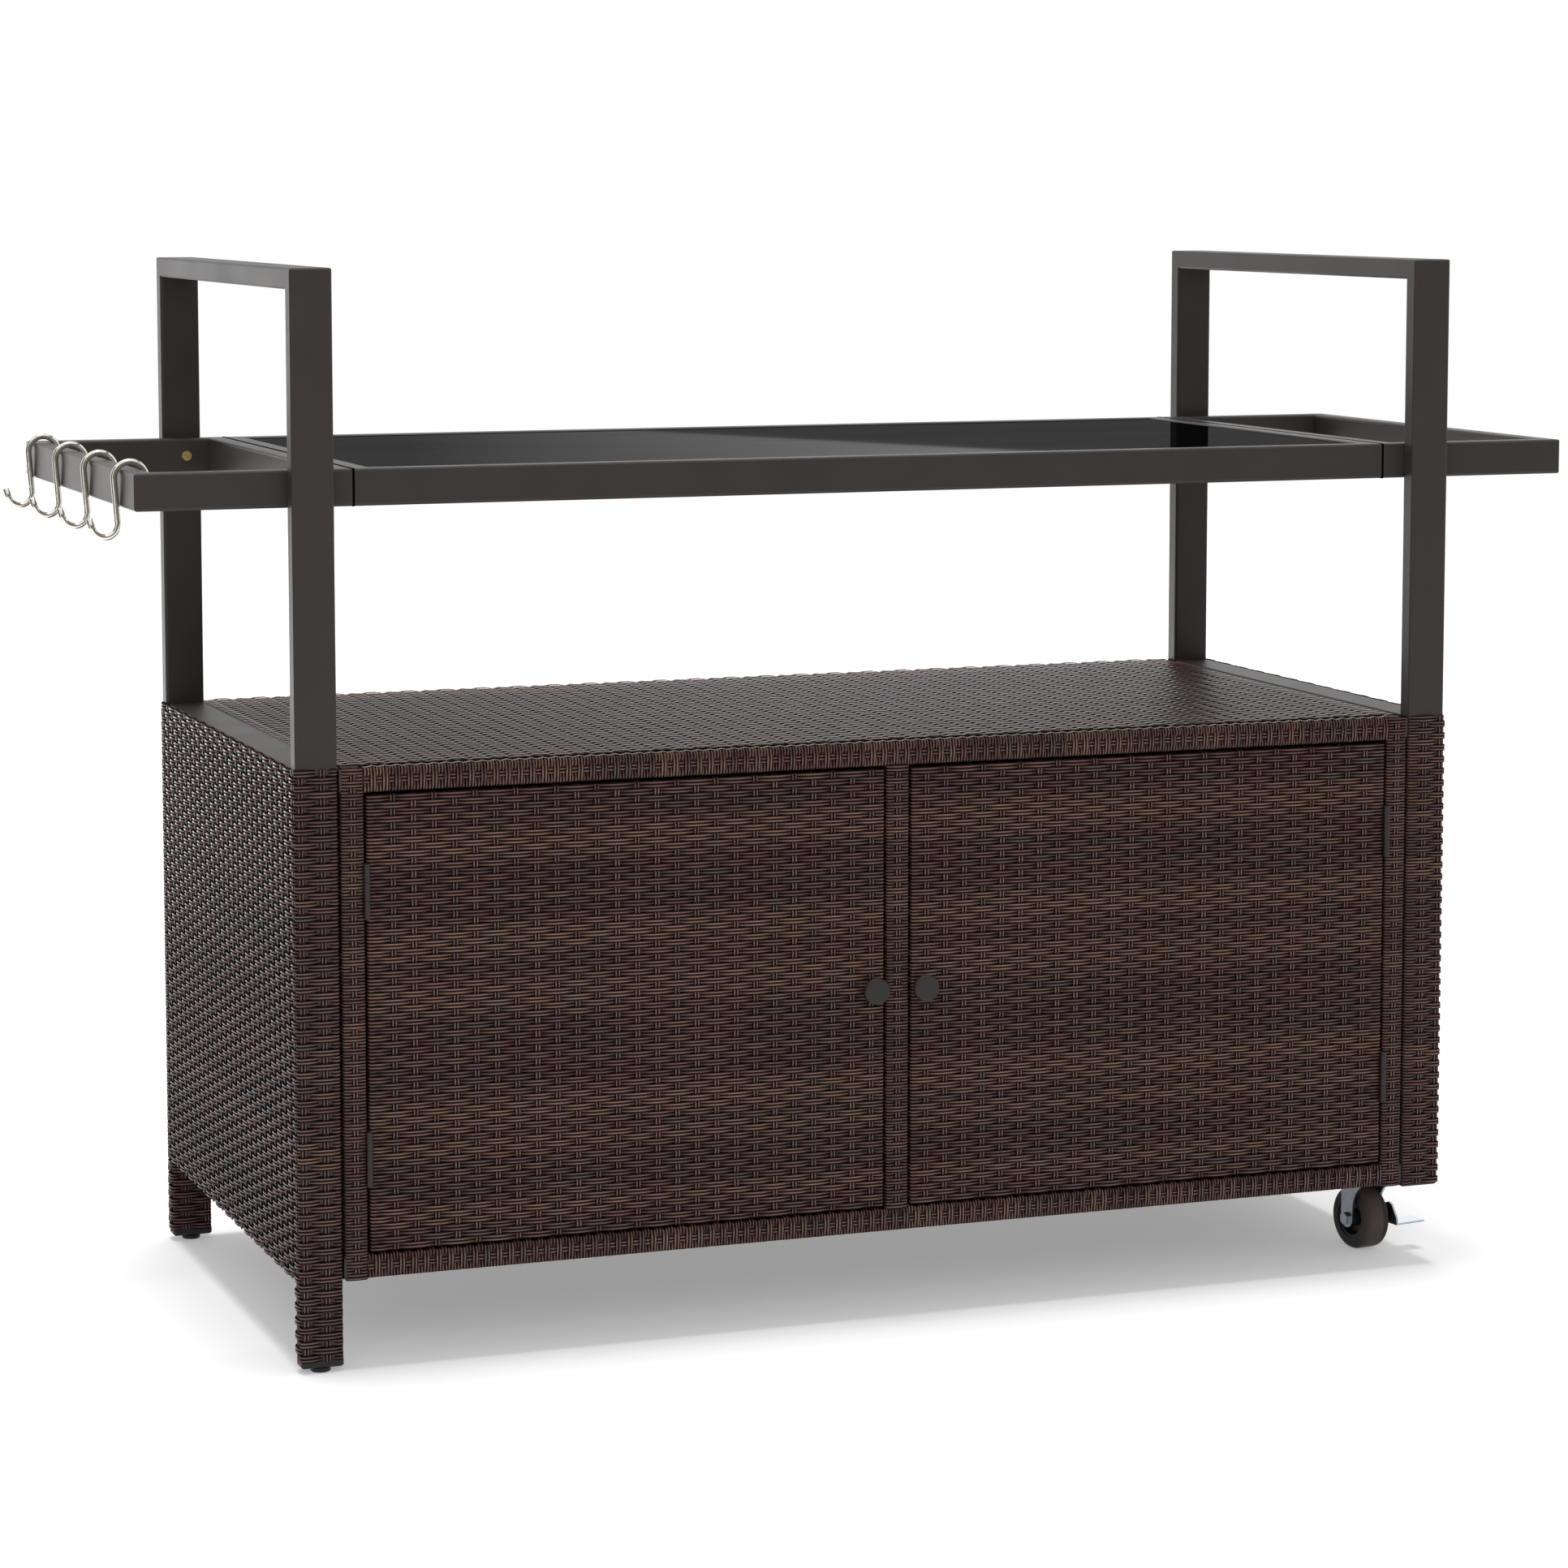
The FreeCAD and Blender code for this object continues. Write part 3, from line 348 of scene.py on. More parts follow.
class Run:
    """A tape's line over the frame: straight sides with rounded corners, all in one plane."""

    def __init__(self, corners, across, radius, closed=False):
        corners = np.array(corners, float)
        self.across = np.array(across, float)
        self.closed = closed
        count = len(corners)
        points = []
        normals = []
        self.start = []
        for k in range(count):
            before = corners[k] - corners[k - 1]
            after = corners[(k + 1) % count] - corners[k]
            if not closed and k == 0:
                before = after
            if not closed and k == count - 1:
                after = before
            before = before / np.linalg.norm(before)
            after = after / np.linalg.norm(after)
            n_before = np.cross(before, self.across)
            n_after = np.cross(after, self.across)
            if np.dot(before, after) > STRAIGHT:
                points.append(corners[k])
                normals.append(n_after)
                self.start.append((len(points) - 1, 0.0))
                continue
            centre = corners[k] - radius * (n_before + n_after)
            for step in range(ARC_STEPS + 1):
                angle = 0.5 * math.pi * step / ARC_STEPS
                normal = math.cos(angle) * n_before + math.sin(angle) * n_after
                points.append(centre + radius * normal)
                normals.append(normal)
            self.start.append((len(points) - 1, radius))
        if closed:
            points.append(points[0])
            normals.append(normals[0])
        self.points = np.array(points)
        self.normals = np.array(normals)
        steps = np.linalg.norm(np.diff(self.points, axis=0), axis=1)
        self.knots = np.concatenate([[0.0], np.cumsum(steps)])
        self.length = self.knots[-1]

    def along(self, side, distance):
        """Place on the line, a distance from the corner where that side starts."""
        index, cut = self.start[side]
        place = self.knots[index] + distance - cut
        return place % self.length if self.closed else place

    def calm(self, places, bumpy=()):
        """1 on the straight sides, falling near the bends, where a tape lies close to the tube."""
        share = np.ones(len(places))
        for number, (index, cut) in enumerate(self.start):
            if cut == 0.0 or number in bumpy:
                continue
            away = np.abs(places - self.knots[index] + 0.25 * math.pi * cut)
            if self.closed:
                away = np.minimum(away, self.length - away)
            near = np.clip((away - CALM_NEAR) / CALM_FADE, 0.0, 1.0)
            eased = CALM_LEAST + (1.0 - CALM_LEAST) * near * near * (3.0 - 2.0 * near)
            share = np.minimum(share, eased)
        return share

    def at(self, places):
        """Points on the line, and the directions that face out there."""
        inside = places % self.length if self.closed else places
        point, out = (
            np.stack([np.interp(inside, self.knots, values[:, k]) for k in range(3)], -1)
            for values in (self.points, self.normals)
        )
        return point, out / np.linalg.norm(out, axis=-1, keepdims=True)


class Weave:
    """Collects the tapes of one woven piece, with each point's tone and place on its tape."""

    def __init__(self, seed, swing=TAPE_SWING, bands=None):
        self.chance = np.random.default_rng(seed)
        self.bands = bands
        self.swing = swing
        self.points = []
        self.faces = []
        self.tones = []
        self.places = []
        self.count = 0

    def add(self, run, centre, out, width, along, tone, section):
        """centre is tape x step x 3; width and along are tape x step; tone has three layers."""
        tapes, steps = centre.shape[:2]
        ring = len(section)
        out = np.broadcast_to(out, centre.shape)
        sideways = section[:, 0][None, None, :, None] * 0.5 * width[..., None, None] * run.across
        outward = section[:, 1][None, None, :, None] * TAPE_THICK * out[:, :, None, :]
        self.points.append((centre[:, :, None, :] + sideways + outward).reshape(-1, 3))
        self.tones.append(np.repeat(np.stack(tone, -1).reshape(-1, len(LAYERS)), ring, 0))
        places = np.zeros((tapes, steps, ring, 3))
        places[..., 0] = along[..., None]
        places[..., 1] = section[:, 0] * 0.5 * width[..., None]
        places[..., 2] = self.chance.random(tapes)[:, None, None] * GRAIN_ROOM
        self.places.append(places.reshape(-1, 3))
        tape = np.arange(tapes)[:, None, None] * steps * ring
        step = np.arange(steps if run.closed else steps - 1)[None, :, None]
        after = (step + 1) % steps
        spoke = np.arange(ring)[None, None, :]
        beside = (spoke + 1) % ring
        corners = [
            step * ring + spoke, after * ring + spoke, after * ring + beside, step * ring + beside,
        ]
        shape = (tapes, step.size, ring)
        quads = np.stack([np.broadcast_to(tape + c, shape) for c in corners], -1)
        self.faces.append((quads.reshape(-1, 4) + self.count, 4))
        if not run.closed:
            first = np.arange(tapes)[:, None] * steps * ring + np.arange(ring)[None, :]
            last = first + (steps - 1) * ring
            self.faces.append((np.concatenate([first, last[:, ::-1]]) + self.count, ring))
        self.count += tapes * steps * ring

    def tone_along(self, tapes, along):
        """Colour of each tape, which drifts from one dye lot to another along its length."""
        reach = along.max() - along.min() + DYE_REACH
        marks = int(reach / DYE_REACH) + 2
        values = self.chance.random((tapes, marks))
        place = (along - along.min()) / DYE_REACH
        low = np.clip(place.astype(int), 0, marks - 2)
        part = place - low
        part = part * part * (3.0 - 2.0 * part)
        return values[:, low] * (1.0 - part) + values[:, low + 1] * part

    def band_over(self, rows, along):
        """Paler bands a few tapes tall: at given shares of the height, or a row here and there."""
        if self.bands:
            place = (np.arange(rows) + 0.5) / rows
            level = sum(
                np.clip(1.4 - np.abs(place - middle) / half, 0.0, 1.0)
                for middle, half in self.bands
            )
        else:
            chances = np.repeat(self.chance.random(rows // BAND_ROWS + 1), BAND_ROWS)[:rows]
            level = np.clip(2.5 * chances - 1.5, 0.0, 1.0)
        marks = int((along.max() - along.min()) / BAND_REACH) + 3
        ease = 0.65 + 0.35 * self.chance.random((rows, marks))
        step = (along - along.min()) / BAND_REACH
        low = step.astype(int)
        eased = ease[:, low] * (1.0 - step + low) + ease[:, low + 1] * (step - low)
        return level[:, None] * eased

    def wefts(self, run, places, stakes, width, pieces, section=TWO_RIBS, first_row=0, bumpy=()):
        """Tapes along the line, one at each place across it, over and under the stakes."""
        stakes = np.sort(np.array(stakes))
        if run.closed:
            marks = np.concatenate([[stakes[-1] - run.length], stakes, [stakes[0] + run.length]])
        else:
            before = stakes[0] - (stakes[1] - stakes[0]) * np.arange(SPARE_STAKES, 0, -1)
            after = stakes[-1] + (stakes[-1] - stakes[-2]) * np.arange(1, SPARE_STAKES + 1)
            marks = np.concatenate([before, stakes, after])
        first = int(np.argmin(np.abs(marks - stakes[0])))
        phase = math.pi * (np.arange(len(marks)) - first)
        steps = np.concatenate([
            np.linspace(here, there, pieces, endpoint=False)
            for here, there in zip(marks[:-1], marks[1:])
        ])
        steps = np.concatenate([steps % run.length if run.closed else steps, run.knots])
        steps = np.unique(np.round(steps[(steps >= 0) & (steps <= run.length)], 6))
        apart = np.concatenate([[True], np.diff(steps) > LEAST_STEP])
        apart[-1] = True
        steps = steps[apart]
        if run.closed:
            steps = steps[:-1]
        turn = np.interp(steps, marks, phase)
        count = len(places)
        rows = np.arange(count) + first_row
        wave = np.cos(turn[None, :] + math.pi * rows[:, None])
        swing = run.calm(steps, bumpy) * np.clip(FLAT_CREST * wave, -1.0, 1.0)
        point, out = run.at(steps)
        begins = self.chance.random((count, 1)) * DRIFT_ROOM
        waver = np.sin(steps[None, :] * DRIFT_RATE + begins)
        spot = np.array(places)[:, None] + TAPE_DRIFT * waver
        lift = TAPE_LIFT + self.swing * swing
        centre = point[None] + out[None] * lift[..., None] + run.across * spot[..., None]
        wide = width * (0.985 + 0.03 * self.chance.random((count, 1))) * (1.03 - 0.03 * swing)
        tone = [self.tone_along(count, steps), self.band_over(count, steps), 0.5 - 0.5 * swing]
        self.add(run, centre, out, wide, np.broadcast_to(steps, swing.shape), tone, section)

    def stakes(
        self, run, places, width, lift=TAPE_LIFT, section=TWO_RIBS, rows=(), turns=(), sunk=0.5,
    ):
        """Tapes along the line, one at each place across it, that rise where they cross a row."""
        marks = rows if len(rows) else np.arange(0.0, run.length, STAKE_STEP)
        steps = np.unique(np.round(np.concatenate([marks, run.knots]), 6))
        if run.closed:
            steps = steps[:-1]
        count = len(places)
        rise = np.zeros((count, len(steps)))
        if len(rows):
            turn = np.interp(steps, rows, turns)[None, :] + math.pi * np.arange(count)[:, None]
            rise = -STAKE_RISE * run.calm(steps) * np.cos(turn)
        point, out = run.at(steps)
        spot = run.across * np.array(places)[:, None, None]
        centre = point[None] + out[None] * (lift + rise)[..., None] + spot
        # The sunk layer sets the painted shade; sunk=1.0 paints a tape fully dark.
        tone = [self.tone_along(count, steps), np.zeros_like(rise), sunk - 0.5 * rise / STAKE_RISE]
        wide = np.full(rise.shape, width)
        self.add(run, centre, out, wide, np.broadcast_to(steps, rise.shape), tone, section)

    def make(self, name, material, body, *replaced):
        points = np.concatenate(self.points).astype(np.float32)
        corners = np.concatenate([faces.ravel() for faces, size in self.faces]).astype(np.int32)
        sizes = np.concatenate([np.full(len(faces), size) for faces, size in self.faces])
        starts = np.concatenate([[0], np.cumsum(sizes)[:-1]]).astype(np.int32)
        mesh = bpy.data.meshes.new(name)
        mesh.vertices.add(len(points))
        mesh.vertices.foreach_set("co", points.ravel())
        mesh.loops.add(len(corners))
        mesh.loops.foreach_set("vertex_index", corners)
        mesh.polygons.add(len(sizes))
        mesh.polygons.foreach_set("loop_start", starts)
        mesh.polygons.foreach_set("use_smooth", sizes == 4)
        tones = np.concatenate(self.tones)
        for number, layer in enumerate(LAYERS):
            values = np.ascontiguousarray(tones[:, number], np.float32)
            mesh.attributes.new(layer, "FLOAT", "POINT").data.foreach_set("value", values)
        places = np.concatenate(self.places).astype(np.float32)
        on_tape = mesh.attributes.new("tape_place", "FLOAT_VECTOR", "POINT")
        on_tape.data.foreach_set("vector", places.ravel())
        mesh.update(calc_edges=True)
        mesh.materials.append(material)
        made = bpy.data.objects.new(name, mesh)
        scene.collection.objects.link(made)
        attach(made, body)
        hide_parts(*replaced)


def rattan(name, groove_shade_depth, haze, hollow_from=0.0, hollow_shade_depth=0.42):
    """Extruded plastic tape: brown dye lots, paler bands, painted shade in the grooves beside the
    ribs and in the hollows under the crossings, a gloss.
    """
    dye_lots = [
        (0.15, srgb(98, 79, 74)), (0.4, srgb(96, 66, 65)),
        (0.65, srgb(112, 78, 75)), (0.88, srgb(120, 91, 80)),
    ]
    rib_crest = 1.62 * MM
    line_stretch = (25.0, 2200.0, 7.0)
    finish = Finish(bpy.data.materials.new(name))
    tone, band, sunk = (
        finish.node("ShaderNodeAttribute", {"attribute_name": layer}, {}, "Fac") for layer in LAYERS
    )
    place = finish.node("ShaderNodeAttribute", {"attribute_name": "tape_place"}, {}, "Vector")
    dye = finish.node("ShaderNodeValToRGB", {"stops": dye_lots}, {"Fac": tone})
    pale = finish.blend(0.75 * band, dye, srgb(150, 117, 97))
    across = finish.node("ShaderNodeSeparateXYZ", {}, {"Vector": place}, "Y")
    from_middle = finish.node("ShaderNodeMath", {"operation": "ABSOLUTE"}, {0: across})
    from_crest = finish.node(
        "ShaderNodeMath", {"operation": "ABSOLUTE"}, {0: from_middle / rib_crest - 1.0}
    )
    groove = finish.node(
        "ShaderNodeMapRange",
        {"interpolation_type": "SMOOTHSTEP"},
        {"Value": from_crest, "From Min": 0.16, "From Max": 0.62, "To Max": groove_shade_depth},
    )
    # Painted shade: the colour darkens in the grooves beside the ribs, where shade would fall.
    shaded = finish.blend(groove, pale, srgb(20, 13, 12))
    # Painted shade: where a tape dips under a crossing its colour darkens, from hollow_from on.
    hollow = finish.node(
        "ShaderNodeMapRange", {}, {"Value": sunk, "From Min": hollow_from, "From Max": 1.0}
    )
    hollow_shaded = finish.blend(hollow_shade_depth * hollow, shaded, srgb(16, 10, 10))
    stretched = finish.node(
        "ShaderNodeVectorMath", {"operation": "MULTIPLY"}, {0: place, 1: line_stretch}
    )
    lines = finish.node(
        "ShaderNodeTexNoise", {}, {"Vector": stretched, "Scale": 1.0, "Detail": 3.0}
    )
    return surfaced(finish, {
        "Base Color": finish.blend(0.3 * lines, hollow_shaded, srgb(34, 25, 23)),
        "Roughness": 0.5 + 0.2 * lines,
        "Normal": relief(finish, lines, 0.25),
        "Specular IOR Level": 0.0,
        "Coat Weight": (1.0 - groove) * (1.0 - 0.8 * hollow),
        "Coat Roughness": haze,
    })


def spread(low, high, pitch):
    """Places from high down to low, as near to that pitch as fills the length, and the pitch."""
    count = round((high - low) / pitch)
    used = (high - low) / count
    return high - used * (np.arange(count) + 0.5), used


def upright_stakes(woven, run, marks, rows, pitch, first_row=0):
    """Stakes that stand on a level line, at places along it, between rows from the top down."""
    low, high = rows[-1] - 0.5 * pitch, rows[0] + 0.5 * pitch
    point, out = run.at(np.array(sorted(marks)))
    for number, (spot, facing) in enumerate(zip(point, out)):
        line = Run([(*spot[:2], low), (*spot[:2], high)], np.cross(facing, UP), corner)
        turns = math.pi * (np.arange(len(rows))[::-1] + number + first_row)
        woven.stakes(line, [0.0], stake_wide, rows=rows[::-1] - low, turns=turns)


wicker = rattan("woven_rattan", 0.95, 0.29)
skin = 1.5 * MM
seam = 1.2 * MM
stake_wide = 6.0 * MM
tape_share = 1.08
corner = 3.0 * MM
end_seed = {"left": 11, "right": 12}
end_swing = 1.5 * MM
end_row_pitch = {"left": 6.75 * MM, "right": 6.03 * MM}
end_stake_pitch = 20.36 * MM
end_stake_room = 16.0 * MM
post_stakes = {"left": (4.0 * MM, 25.0 * MM), "right": (3.7 * MM, 22.5 * MM)}
post_turn_in = 9.0 * MM
post_deep = 20.0 * MM
inner_wide = 3.6 * MM
inner_lift = -0.8 * MM
cabinet_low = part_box("left_end_wicker")[0].z
cabinet_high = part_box("left_end_wicker")[1].z
for side in ("left", "right"):
    low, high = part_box(side + "_leg_wraps")
    front = low.y + skin
    back = high.y - skin
    outer = low.x + skin if side == "left" else high.x - skin
    inner = high.x - skin - seam if side == "left" else low.x + skin + seam
    line = [(inner, front + post_turn_in), (inner, front), (outer, front)]
    line += [(outer, back), (inner, back), (inner, back - post_turn_in)]
    if side == "left":
        line.reverse()
    run = Run([(x, y, 0.0) for x, y in line], UP, corner)
    post_face = abs(inner - outer)
    end_face = back - front
    spans = int((end_face - end_stake_room) / end_stake_pitch)
    first_stake = 0.5 * (end_face - spans * end_stake_pitch)
    end_stakes = [run.along(2, first_stake + k * end_stake_pitch) for k in range(spans + 1)]
    marks = [run.along(1, post_face - d) for d in post_stakes[side]]
    marks += end_stakes + [run.along(3, d) for d in post_stakes[side]]
    rows, pitch = spread(cabinet_low, cabinet_high, end_row_pitch[side])
    wide = pitch * tape_share
    woven = Weave(end_seed[side], end_swing)
    woven.wefts(run, rows, marks, wide, pieces=4, bumpy=(2, 3))
    upright_stakes(woven, run, marks, rows, pitch)
    # Painted shade: a dark inner row behind each gap between rows.
    woven.stakes(run, rows[:-1] - 0.5 * pitch, inner_wide, inner_lift, ONE_RIB, sunk=1.0)
    if side == "left":
        leg_rows = spread(low.z, cabinet_low, pitch)[0]
        for face, turn in ((front, 1.0), (back, -1.0)):
            near, far = (outer, inner) if turn > 0 else (inner, outer)
            behind = face + turn * post_deep
            loop = [(near, face, 0.0), (far, face, 0.0), (far, behind, 0.0), (near, behind, 0.0)]
            leg = Run(loop, UP, corner, closed=True)
            across = sorted(d if turn > 0 else post_face - d for d in post_stakes[side])
            outside = post_deep - first_stake if turn > 0 else first_stake
            leg_marks = [leg.along(0, d) for d in across] + [leg.along(1, 0.5 * post_deep)]
            leg_marks += [leg.along(2, d) for d in across] + [leg.along(3, outside)]
            parity = len(rows) + (2 + len(end_stakes) if turn > 0 else 0)
            bumpy = (0, 3) if turn > 0 else (1, 2)
            woven.wefts(leg, leg_rows, leg_marks, wide, pieces=4, first_row=parity, bumpy=bumpy)
            upright_stakes(woven, leg, leg_marks, leg_rows, pitch, parity)
    woven.make(side + "_end_weave", wicker, "cart", side + "_end_wicker", side + "_leg_wraps")


# Front frame: the same tape wound tightly round the square tubes. Upright stiles and mullion have
# level turns, the two rails have upright turns, each over and under one stake on every face.
# On the top rail the upper stake lies near the front edge; its paler tape is a painted highlight,
# and the dark strip behind it is painted shade.
ALONG = (1.0, 0.0, 0.0)
DEEP = (0.0, 1.0, 0.0)
rail_seed = 21
rail_pitch = 5.96 * MM
rail_swing = 1.25 * MM
rail_raise = 0.6 * MM
upright_seed = 22
upright_pitch = 5.98 * MM
lid_pitch = 6.0 * MM
door_room = -0.4 * MM
front_corner = 2.0 * MM
edge_seed = 23
edge_stake = 3
edge_stake_in = 3.0 * MM
edge_stake_wide = 3.4 * MM
edge_stake_lift = 1.55 * MM
edge_shade_in = 5.8 * MM
edge_shade_up = 3.0 * MM
edge_shade_tall = 1.8 * MM
# Painted highlight: the edge stake's tape is paler than the weave, to stand for the bright edge.
edge_tape = coated("edge_tape", srgb(122, 112, 104), srgb(156, 146, 136), 0.3, 3.0, 0.7)
bar = 20.0 * MM
wrapped = bar + 2 * skin
low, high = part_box("front_frame_wicker")
tube_front = low.y + skin
tube_back = high.y - skin
behind = tube_back - door_room
side_middle = (behind - tube_front) / 2
woven = Weave(rail_seed, rail_swing)
rail_ends = (low.x + wrapped, high.x - wrapped)
rail_rows, pitch = spread(*rail_ends, rail_pitch)
crossings = rail_rows[::-1] - rail_ends[0]
for upper, bottom, top in (
    (False, low.z + skin + rail_raise, low.z + skin + bar - door_room),
    (True, high.z - skin - bar + door_room, high.z - skin),
):
    loop = [(tube_front, top), (tube_front, bottom), (behind, bottom), (behind, top)]
    turn = Run([(0.0, y, z) for y, z in loop], ALONG, front_corner, closed=True)
    middles = [(top - bottom) / 2, side_middle] * 2
    if upper:
        middles[edge_stake] = behind - tube_front - edge_stake_in
    marks = [turn.along(k, middle) for k, middle in enumerate(middles)]
    bumpy = () if upper else (0,)
    woven.wefts(turn, rail_rows, marks, pitch * tape_share, pieces=4, bumpy=bumpy)
    for number, mark in enumerate(sorted(marks)):
        point, out = turn.at(np.array([mark]))
        line = Run([(x, *point[0, 1:]) for x in rail_ends], np.cross(out[0], ALONG), corner)
        turns = math.pi * (np.arange(len(rail_rows))[::-1] + number)
        if not upper or number < edge_stake:
            woven.stakes(line, [0.0], stake_wide, rows=crossings, turns=turns)
            continue
        edge = Weave(edge_seed)
        edge.stakes(line, [0.0], edge_stake_wide, edge_stake_lift, rows=crossings, turns=turns)
        edge.make("top_edge_stake", edge_tape, "cart")
        # Painted shade: a narrow dark strip behind the edge stake.
        shade_strip = Run([(x, tube_front + edge_shade_in, top + edge_shade_up) for x in rail_ends], UP, corner)
        woven.stakes(shade_strip, [0.0], edge_shade_tall, 0.0, sunk=1.0)
woven.make("front_rail_wraps", wicker, "cart", "front_frame_wicker")

woven = Weave(upright_seed)
mullion = 0.5 * (low.x + high.x)
uprights = [
    (low.x + skin + seam, low.x + wrapped - skin - door_room, low.z, high.z),
    (mullion - bar / 2 + door_room, mullion + bar / 2 - door_room,
     low.z + wrapped, high.z - wrapped),
    (high.x - wrapped + skin + door_room, high.x - skin - seam, low.z, high.z),
]
for left, right, bottom, top in uprights:
    loop = [(left, tube_front), (right, tube_front), (right, behind), (left, behind)]
    turn = Run([(x, y, 0.0) for x, y in loop], UP, front_corner, closed=True)
    middles = [(right - left) / 2, side_middle] * 2
    marks = [turn.along(k, middle) for k, middle in enumerate(middles)]
    rows, pitch = spread(bottom, top, upright_pitch)
    woven.wefts(turn, rows, marks, pitch * tape_share, pieces=6)
    upright_stakes(woven, turn, marks, rows, pitch)
    if top == high.z:
        lid = Run([(left, 0.0, top - skin), (right, 0.0, top - skin)], DEEP, corner)
        lid_rows, pitch = spread(tube_front + skin, behind - skin, lid_pitch)
        woven.stakes(lid, lid_rows, pitch * tape_share, lift=0.0)
woven.make("front_upright_wraps", wicker, "cart")


# Back, top and floor of the cabinet: woven sheets stretched over the welded tube frames.
# The tapes turn in round the edges; the top lies flush with the upper crossbars of the ends.
sheet_stake_pitch = 20.28 * MM
sheet_turn_in = 8.0 * MM
sheet_widen = 1.04
back_seed = 31
back_row_pitch = 6.75 * MM
level_row_pitch = 6.8 * MM
top_seed = 32
top_set_back = 0.5 * MM
top_corner = 2.0 * MM
top_swing = 1.0 * MM
floor_seed = 33
floor_turn_in = 2.0 * MM
floor_corner = 1.0 * MM
floor_swing = 0.45 * MM


def sheet(
    name, node, seed, run, rows, pitch, length,
    look=wicker, pieces=4, section=TWO_RIBS_COARSE, swing=TAPE_SWING,
):
    """A flat woven sheet: wefts along the line, stakes across it."""
    woven = Weave(seed, swing)
    count = int(length / sheet_stake_pitch)
    first_stake = 0.5 * (length - (count - 1) * sheet_stake_pitch)
    stakes = run.along(1, 0.0) + (first_stake + sheet_stake_pitch * np.arange(count))
    wide = sheet_widen * pitch * tape_share
    woven.wefts(run, rows, stakes, wide, pieces, section=section)
    point, out = run.at(stakes)
    across = np.cross(out[0], run.across)
    reach = 0.5 * pitch
    crossings = rows[::-1] - rows.min() + reach
    for number, spot in enumerate(point):
        ends = [spot + run.across * (rows.min() - reach), spot + run.across * (rows.max() + reach)]
        turns = math.pi * (np.arange(len(rows))[::-1] + number)
        line = Run(ends, across, corner)
        woven.stakes(line, [0.0], stake_wide, section=section, rows=crossings, turns=turns)
    woven.make(name, look, "cart", node)


low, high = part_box("back_wicker_panel")
left, right = low.x + seam, high.x - seam
length = right - left
folded = low.y - sheet_turn_in
line = [(right, folded, 0.0), (right, low.y, 0.0), (left, low.y, 0.0), (left, folded, 0.0)]
rows, pitch = spread(low.z, high.z, back_row_pitch)
run = Run(line, UP, corner)
sheet("back_weave", "back_wicker_panel", back_seed, run, rows, pitch, length, pieces=3)

low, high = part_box("top_wicker_panel")
folded = low.z - sheet_turn_in
line = [(left, 0.0, folded), (left, 0.0, low.z), (right, 0.0, low.z), (right, 0.0, folded)]
rows, pitch = spread(low.y + top_set_back, high.y, level_row_pitch)
run = Run(line, DEEP, top_corner)
# The top has stronger painted shade in its hollows, dark spots beside each stake.
top_look = rattan("woven_top", 0.3, 0.32, hollow_from=0.75, hollow_shade_depth=0.75)
sheet(
    "top_weave", "top_wicker_panel", top_seed, run, rows, pitch, length,
    look=top_look, section=TWO_RIBS_FLAT, swing=top_swing,
)

low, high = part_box("floor_panel")
face = low.z + skin
folded = face - floor_turn_in
line = [(left, 0.0, folded), (left, 0.0, face), (right, 0.0, face), (right, 0.0, folded)]
rows, pitch = spread(low.y, high.y, level_row_pitch)
run = Run(line, DEEP, floor_corner)
sheet(
    "floor_weave", "floor_panel", floor_seed, run, rows, pitch, length,
    pieces=2, swing=floor_swing,
)


# Doors: woven skins stretched over light tube frames. The level tapes fold back round the
# upright edges and the stakes fold back over the top and bottom edges.
door_seed = {"left": 41, "right": 42}
door_row_pitch = 6.64 * MM
door_stake_pitch = 20.0 * MM
door_first_stake = {"left": 4.5 * MM, "right": 15.5 * MM}
door_last_room = 2.0 * MM
door_corner = 1.8 * MM
door_edge = 6.0 * MM
door_bands = [
    (0.12, 0.04), (0.33, 0.04), (0.45, 0.045), (0.71, 0.04), (0.79, 0.02), (0.93, 0.02),
]
for side in ("left", "right"):
    low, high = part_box(side + "_door_wicker")
    front = low.y + skin
    back = high.y
    left, right = low.x + skin + door_room, high.x - skin - door_room
    line = [(left, back, 0.0), (left, front, 0.0), (right, front, 0.0), (right, back, 0.0)]
    run = Run(line, UP, door_corner)
    rows, pitch = spread(low.z, high.z, door_row_pitch)
    stakes = np.arange(low.x + door_first_stake[side], high.x - door_last_room, door_stake_pitch)
    woven = Weave(door_seed[side], bands=door_bands)
    woven.wefts(run, rows, run.along(1, 0.0) + stakes - left, pitch * tape_share, pieces=6)
    shown = (stakes > left + door_edge) & (stakes < right - door_edge)
    first = int(np.argmax(shown))
    bottom, top = low.z + skin + door_room, high.z - skin - door_room
    line = [(0.0, back, bottom), (0.0, front, bottom), (0.0, front, top), (0.0, back, top)]
    upright = Run(line, (-1.0, 0.0, 0.0), door_corner)
    turns = math.pi * (np.arange(len(rows))[::-1] + first)
    crossings = upright.along(1, 0.0) + rows[::-1] - bottom
    woven.stakes(upright, -stakes[shown], stake_wide, rows=crossings, turns=turns)
    woven.make(side + "_door_weave", wicker, side + "_door", side + "_door_wicker")


# Hinges and knobs: pressed butt hinges let into the outer edge of each door, a turned knob near
# the middle, all painted like the frame; small zinc screws and plain steel pins hold them.
hardware_paint = coated("hardware_paint", srgb(44, 41, 40), srgb(56, 52, 50), 0.42, 0.6)
dress(
    hardware_paint,
    "hinge_frame_leaves", "left_hinge_door_leaves", "right_hinge_door_leaves",
    "left_knob", "right_knob",
)


